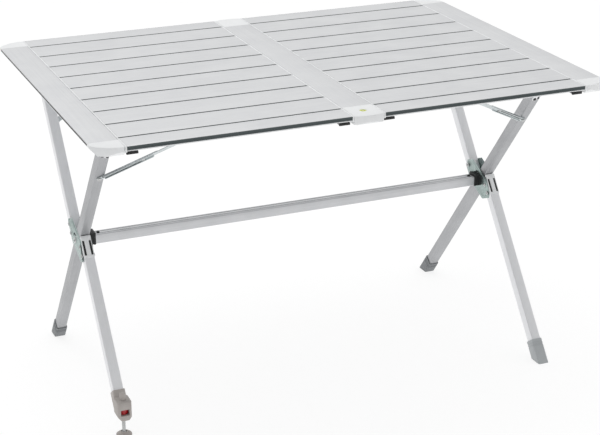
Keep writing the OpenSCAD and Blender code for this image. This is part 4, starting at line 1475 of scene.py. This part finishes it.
@dataclass
class Stay:
    """Channel stay that hooks on a pin under the slats."""

    row: str
    side: str
    rivet_s: float = 267.0
    lift: float = 12.9
    angle: float = 57.0
    width: float = 11.0
    channel_l: float = 133.0
    sheet: float = 1.6
    elbow: float = 102.0
    link_w: float = 9.0
    hook_r: float = 9.0
    slot_r: float = 4.1

    def length(self) -> float:
        """Distance from the rivet to the catch pin."""
        pin_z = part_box("stay_catches")[0].z / MM + 5
        pin_s = (pin_z - HUB_Z + (self.lift + self.sheet / 2) * SIN) / COS
        return (pin_s - self.rivet_s) / math.cos(math.radians(self.angle))

    def matrix(self) -> Matrix:
        """Frame of the stay: X across it, Y along it from the rivet, Z away from the leg."""
        turn = math.radians(self.angle)
        own = Matrix(
            (
                (math.cos(turn), -math.sin(turn), 0, 0),
                (0, 0, -1, 0),
                (math.sin(turn), math.cos(turn), 0, 0),
                (0, 0, 0, 1),
            )
        )
        base = Matrix.Translation(mm(0, -self.lift, self.rivet_s)) @ own
        if self.row == "front":
            return straight_frame(self.side) @ base
        shift = Matrix.Translation(mm(0, HALF_LEG_OFFSET, HALF_LEG_SHIFT))
        return split_frame(self.side) @ shift @ Matrix.Scale(-1, 4, DEEP) @ base

    def build(self) -> None:
        """Builds the channel with a black liner of painted shade, the link with its hook, and the two rivets.
        """
        name, body = f"{self.row}_{self.side}", f"stay_{self.row}_{self.side}"
        w, t, long = self.width / 2, self.sheet, self.length()
        channel = block(f"stay_channel_{name}", (-w, -w, 0), (w, self.channel_l + w, t))
        round_along(channel, UP, w - 0.2, 6)
        for x in (-w, w - t):
            flange = block("flange", (x, 10, t / 2), (x + t, self.channel_l - 8, 5))
            with editing(flange, "EDGE"):
                pick_edges(flange, lambda m, way: abs(way.x) > 0.99 and m.z > 4)
                round_picked(3.0, 3)
            combine(channel, flange, "UNION")
        soften(channel, 0.35, 2, 40)
        dress(placed(channel, self.matrix()), BLUE_ZINC, body, (body,))
        # Black liner on the channel's web: painted shade cast by the channel's flanges
        channel_shade = block(f"stay_liner_{name}", (0.4, 8, t), (w - t - 0.1, self.elbow - 6, t + 1.6))
        soften(channel_shade, 0.4, 3)
        dress(placed(channel_shade, self.matrix()), BLACK_NYLON_AND_SHADE, body)
        half = self.link_w / 2
        link = block(f"stay_link_{name}", (-half, self.elbow - 8, t), (half, long, t * 2))
        round_along(link, UP, 3.6, 4)
        placed(link, Matrix.Translation(mm(0, 0, -t * 0.55)))
        disc = rod("disc", (0, long, t * 0.95), self.hook_r, t, sides=40)
        combine(link, disc, "UNION")
        mouth = rod("mouth", (0, long, t), self.slot_r, 8, sides=32)
        combine(link, mouth, "DIFFERENCE")
        opening = block("opening", (-self.slot_r + 0.1, long, -3), (self.slot_r, long + 16, 6))
        turn = Matrix.Rotation(-math.radians(self.angle), 4, "Z")
        placed(opening, Matrix.Translation(mm(0, long, 0)) @ turn @ Matrix.Translation(mm(0, -long, 0)))
        combine(link, opening, "DIFFERENCE")
        soften(link, 0.3, 2, 45)
        dress(placed(link, self.matrix()), BLUE_ZINC, body)
        for kind, y, radius, height in (("pivot", 0.0, 4.6, 2.4), ("elbow", self.elbow, 3.6, 2.6)):
            rivet = rod(f"stay_{kind}_rivet_{name}", (0, y, t + height / 2 - 0.2), radius, height, sides=28)
            sink(rivet, lambda m, n: n.z > 0.9, radius * 0.4, 0.8)
            soften(rivet, 0.5, 3, 40)
            dress(placed(rivet, self.matrix()), BRIGHT_STEEL, body)


@dataclass
class Crossbar:
    """Rectangular bar between the hubs with its sockets and snap buttons."""

    depth: float = 25.0
    groove: tuple = (4.5, 6.5)
    socket_l: float = 16.0
    button_r: float = 3.5

    def build(self) -> None:
        """Builds the bar, the sockets and the buttons, and dresses the springs."""
        low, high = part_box("crossbar")
        reach, y, z0, z1 = high.x / MM, self.depth / 2, low.z / MM, high.z / MM
        bar = block("crossbar_tube", (-reach, -y, z0), (reach, y, z1))
        near, far = self.groove
        for place in (-far, -near, near, far):
            score(bar, (0, place, 0), DEEP)
        sink(bar, lambda m, n: abs(n.z) > 0.9 and near < abs(m.y) < far, 0.0, 0.9)
        with editing(bar, "EDGE"):
            pick_edges(bar, lambda m, way: abs(way.x) > 0.99 and abs(m.y) > y - 0.1)
            round_picked(1.6, 3)
        button_x = sum(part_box("snap_button_right")[i].x for i in (0, 1)) / 2 / MM
        for way in (-1, 1):
            hole = rod("hole", (way * button_x, 0, z1), self.button_r + 0.3, 37)
            combine(bar, hole, "DIFFERENCE")
        # Dark strips in the bar's top grooves: painted shade in the grooves
        middle = (near + far) / 2
        for name, place in (("front", -middle), ("back", middle)):
            shade_strip = block(
                f"bar_strip_{name}", (4 - reach, place - 0.9, z1 - 0.85), (reach - 4, place + 0.9, z1 - 0.25)
            )
            dress(soften(shade_strip, 0.2), SHADE_STRIP_SLATE, "crossed_frame", (), Lay.ALONG_X)
        dress(bar, BAR_TUBE, "crossed_frame", ("crossbar",), Lay.ALONG_X)
        for side in SIDES:
            self.socket(side, reach, z0, z1)
            self.button(side, button_x, z1)
            dress_cad(f"snap_spring_{side}", BRIGHT_STEEL)

    def socket(self, side: str, reach: float, z0: float, z1: float) -> None:
        """Builds the ribbed block between the bar and a hub.

        Args:
            side: left or right.
            reach: the bar's end.
            z0: the bar's underside.
            z1: the bar's top.
        """
        y = self.depth / 2 + 1
        piece = block(f"bar_socket_block_{side}", (reach, -y, z0 - 1), (reach + self.socket_l, y, z1 + 5))
        for x in (5, 7, 9.5, 11.5):
            score(piece, (reach + x, 0, 0), ACROSS)
        sink(
            piece,
            lambda m, n: abs(n.x) < 0.1 and (5 < m.x - reach < 7 or 9.5 < m.x - reach < 11.5),
            0.0, 0.8,
        )
        soften(piece, 0.6, 2, 50)
        placed(piece, on_side(side))
        dress(piece, BLACK_NYLON_AND_SHADE, "crossed_frame", (f"bar_socket_{side}",))

    def button(self, side: str, x: float, z: float) -> None:
        """Builds a domed snap button.

        Args:
            side: left or right.
            x: its place along the bar.
            z: the bar's top.
        """
        piece = rod(f"snap_button_dome_{side}", (x, 0, z + 0.25), self.button_r, 4.5, sides=32)
        sink(piece, lambda m, n: n.z < -0.9, 0.3, 3.0)
        with editing(piece, "EDGE"):
            pick_edges(piece, lambda m, way: m.z > z + 2)
            round_picked(1.4, 5)
        placed(piece, on_side(side))
        dress(piece, BLACK_NYLON_AND_SHADE, f"button_{side}", (f"snap_button_{side}",))


# ---------- the levelling foot ----------


@dataclass
class LevelFoot:
    """Screw foot on the front left leg."""

    tube_z: float = 75.0
    boss_w: float = 31.0
    nut_r: float = 11.0
    nut_h: float = 13.0
    spindle_r: float = 4.0
    pitch: float = 2.0
    pad_r: float = 17.0
    ball_r: float = 6.0
    flutes: int = 14
    window_w: float = 19.0
    sleeve_s: tuple = (-395.0, -351.0)

    def __post_init__(self) -> None:
        """Reads the spindle's place from the frame."""
        low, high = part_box("level_spindle")
        self.x = (low.x + high.x) / 2 / MM
        self.y = (low.y + high.y) / 2 / MM
        self.nut_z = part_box("level_nut")[0].z / MM
        self.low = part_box("level_housing")[0].z / MM

    def housing(self) -> None:
        """Builds the housing: a sleeve on the leg and a boss with the nut's window."""
        x, y, top = -self.x, self.y, self.tube_z + 13
        w = self.boss_w / 2
        piece = block("level_foot_housing", (x - w, y - 17, self.low), (x + w, y + 21, top))
        round_along(piece, UP, 6.0, 5)
        trim(piece, (x, y + 10, self.low), (0, 0.75, -1))
        trim(piece, (x + 8, y, self.low), (1, 0, -0.9))
        trim(piece, (x - 8, y, self.low), (-1, 0, -0.9))
        sleeve = block(
            "sleeve", (-HALF_LEG_W / 2 - 2, -HALF_LEG_OFFSET - LEG_D / 2 - 2, self.sleeve_s[0]),
            (HALF_LEG_W / 2 + 2, -HALF_LEG_OFFSET + LEG_D / 2 + 2, self.sleeve_s[1]),
        )
        round_along(sleeve, UP, 2.6, 3)
        placed(sleeve, split_frame("right"))
        combine(piece, sleeve, "UNION")
        guide = rod("guide", (x, y, top + 8), self.spindle_r + 2.5, 18, sides=32)
        combine(piece, soften(guide, 1.0, 3, 50), "UNION")
        room = rod("room", (x, y, self.nut_z + self.nut_h / 2), self.nut_r + 0.9, self.nut_h + 1.2, sides=40)
        combine(piece, room, "DIFFERENCE")
        w = self.window_w / 2
        window = block("window", (x - w, y - 30, self.nut_z - 0.6), (x + w, y, self.nut_z + self.nut_h + 0.6))
        round_along(window, DEEP, 1.6, 3)
        combine(piece, window, "DIFFERENCE")
        soften(piece, 0.5, 2, 50)
        placed(piece, on_side("left"))
        dress(piece, WARM_GREY_PA, "crossed_frame", ("level_housing",))

    def nut(self) -> None:
        """Builds the fluted thumb nut."""
        centre, sides = (self.x, self.y, self.nut_z + self.nut_h / 2), 4 * self.flutes
        piece = rod("level_thumb_nut", centre, self.nut_r, self.nut_h, sides=sides)
        with editing(piece):
            mesh = bmesh.from_edit_mesh(piece.data)
            for face in mesh.faces:
                middle = face.calc_center_median() / MM
                turn = math.atan2(middle.y - self.y, middle.x - self.x) / (2 * math.pi) * sides
                face.select_set(abs(face.normal.z) < 0.1 and round(turn - 0.5) % 4 in (0, 1))
            bmesh.update_edit_mesh(piece.data)
            bpy.ops.mesh.inset(thickness=0.25 * MM, depth=0.0)
            bpy.ops.mesh.inset(thickness=0.0, depth=-0.9 * MM)
        bore = rod("bore", (self.x, self.y, self.nut_z), self.spindle_r + 0.05, 60, sides=32)
        combine(piece, bore, "DIFFERENCE")
        dress(soften(piece, 0.25, 2, 50), RED_ABS, "thumb_nut", ("level_nut",))

    def spindle(self) -> None:
        """Builds the threaded spindle with its ball end."""
        low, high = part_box("level_spindle")
        z0, z1 = low.z / MM + self.ball_r, high.z / MM
        centre = (self.x, self.y, (z0 + z1) / 2)
        piece = rod("level_threaded_spindle", centre, self.spindle_r - 0.05, z1 - z0, sides=24)
        turns = int((z1 - z0 - 8) / self.pitch)
        for turn in range(turns):
            middle = z0 + 6 + turn * self.pitch
            for step in (-0.5, 0.5):
                score(piece, (0, 0, middle + step * self.pitch * 0.5), UP)
        with editing(piece):
            pick_faces(
                piece,
                lambda m, n: abs(n.z) < 0.1 and z0 + 5 < m.z < z1 - 2
                and ((m.z - z0 - 6) / self.pitch + 0.25) % 1 < 0.5,
            )
            bpy.ops.mesh.inset(thickness=0.0, depth=-0.5 * MM)
        soften(piece, 0.12, 1, 50)
        bpy.ops.object.select_all(action="DESELECT")
        bpy.ops.mesh.primitive_uv_sphere_add(
            segments=28, ring_count=16, radius=self.ball_r * MM, location=mm(self.x, self.y, z0)
        )
        combine(piece, settle("ball"), "UNION")
        dress(piece, BRIGHT_STEEL, "spindle", ("level_spindle",))

    def pad(self) -> None:
        """Builds the round floor pad: a shallow dome with a neck round the ball."""
        x, y = self.x, self.y
        piece = rod("level_floor_pad", (x, y, 3.5), self.pad_r, 7, sides=56)
        with editing(piece):
            pick_faces(piece, lambda m, n: n.z > 0.9)
            for border, rise in ((3.0, 2.4), (3.2, 1.6), (3.0, 0.9)):
                bpy.ops.mesh.inset(thickness=border * MM, depth=rise * MM)
            bpy.ops.mesh.inset(thickness=0.6 * MM, depth=2.0 * MM)
        socket = rod("socket", (x, y, 9.5), 6.15, 16, sides=40)
        combine(piece, socket, "DIFFERENCE")
        soften(piece, 0.7, 3, 28)
        dress(piece, WARM_GREY_PA, "floor_pad", ("level_pad",))

    def build(self) -> None:
        """Builds the foot's pieces."""
        self.housing()
        self.nut()
        self.spindle()
        self.pad()


# ---------- the studio ----------


@dataclass
class Studio:
    """Pale floor, soft light and the camera, with lengths in metres."""

    floor_r: float = 14.0
    lens: float = 94.66
    azimuth: float = -22.85
    elevation: float = 21.71
    spot: tuple = (-1.308, -3.153, 1.685)
    floor_glow: float = 0.8

    def floor(self) -> None:
        """Lays the floor, a plain white sheet lit from below so that shadows stay faint."""
        bpy.ops.object.select_all(action="DESELECT")
        bpy.ops.mesh.primitive_circle_add(
            vertices=96, radius=self.floor_r, fill_type="NGON", location=(0, 0, -0.0005)
        )
        floor = settle("studio_floor")
        material = bpy.data.materials.new("backlit_white_acrylic")
        material.use_nodes = True
        shader = material.node_tree.nodes["Principled BSDF"]
        shader.inputs["Base Color"].default_value = linear("#8C8C8C")
        shader.inputs["Roughness"].default_value = 0.9
        shader.inputs["Specular IOR Level"].default_value = 0.0
        shader.inputs["Emission Color"].default_value = (1, 1, 1, 1)
        shader.inputs["Emission Strength"].default_value = self.floor_glow
        floor.data.materials.append(material)

    def lamp(self, name: str, place: tuple, size: float, power: float) -> None:
        """Adds a soft lamp aimed at the table's middle.

        Args:
            name: the lamp's name.
            place: where it stands, in metres.
            size: its width in metres.
            power: in watts.
        """
        data = bpy.data.lights.new(name, "AREA")
        data.shape, data.size, data.energy = "DISK", size, power
        lamp = bpy.data.objects.new(name, data)
        lamp.location = place
        aim = Vector((0, 0, 0.4)) - Vector(place)
        lamp.rotation_euler = aim.to_track_quat("-Z", "Y").to_euler()
        bpy.context.scene.collection.objects.link(lamp)

    def world(self) -> None:
        """Fills the room with soft white light, brightest above and behind the table."""
        world = bpy.data.worlds.new("studio")
        bpy.context.scene.world = world
        world.use_nodes = True
        tree = world.node_tree
        tree.nodes.clear()
        place = add_node(tree, "ShaderNodeTexCoord", {}, {}).outputs["Generated"]
        split = add_node(tree, "ShaderNodeSeparateXYZ", {}, {"Vector": place})
        depth = add_node(
            tree, "ShaderNodeMapRange",
            {"From Min": -0.9, "From Max": 0.3, "To Min": 0.5, "To Max": 1.0}, {"Value": split.outputs["Y"]},
        ).outputs["Result"]
        height = add_node(
            tree, "ShaderNodeMapRange",
            {"From Min": -0.1, "From Max": 0.5, "To Min": 0.75, "To Max": 1.0}, {"Value": split.outputs["Z"]},
        ).outputs["Result"]
        across = add_node(
            tree, "ShaderNodeMapRange",
            {"From Min": -0.95, "From Max": -0.2, "To Min": 0.6, "To Max": 1.0},
            {"Value": split.outputs["X"]},
        ).outputs["Result"]
        both = add_node(tree, "ShaderNodeMath", {"operation": "MULTIPLY"}, {})
        tree.links.new(depth, both.inputs[0])
        tree.links.new(height, both.inputs[1])
        light = add_node(tree, "ShaderNodeMath", {"operation": "MULTIPLY"}, {})
        tree.links.new(both.outputs["Value"], light.inputs[0])
        tree.links.new(across, light.inputs[1])
        glow = add_node(
            tree, "ShaderNodeBackground", {"Color": (1, 1, 1, 1)}, {"Strength": light.outputs["Value"]}
        )
        add_node(tree, "ShaderNodeOutputWorld", {}, {"Surface": glow.outputs["Background"]})

    def camera(self) -> None:
        """Adds the camera at the viewing angle."""
        data = bpy.data.cameras.new("camera")
        data.lens, data.sensor_width = self.lens, 36.0
        camera = bpy.data.objects.new("camera", data)
        turn, rise = math.radians(self.azimuth), math.radians(self.elevation)
        back = Vector((math.sin(turn) * math.cos(rise), -math.cos(turn) * math.cos(rise), math.sin(rise)))
        camera.location = self.spot
        camera.rotation_euler = (-back).to_track_quat("-Z", "Y").to_euler()
        bpy.context.scene.collection.objects.link(camera)
        bpy.context.scene.camera = camera

    def build(self) -> None:
        """Builds the studio."""
        bpy.context.scene.view_settings.view_transform = "Standard"
        self.camera()
        self.world()
        self.floor()
        self.lamp("overhead", (-0.6, 0.8, 3.4), 2.0, 14)


def main() -> None:
    """Builds the studio and the table."""
    logging.basicConfig(level=logging.INFO, format="%(message)s")
    Studio().build()
    Rails().build()
    Caps().build()
    BubbleLevel().build()
    Underside().build()
    for side in SIDES:
        SlatField(side).build()
        Legs(side).build()
        Hub(side).build()
        for row in ("front", "back"):
            Stay(row, side).build()
    Crossbar().build()
    LevelFoot().build()


if __name__ == "__main__":
    main()
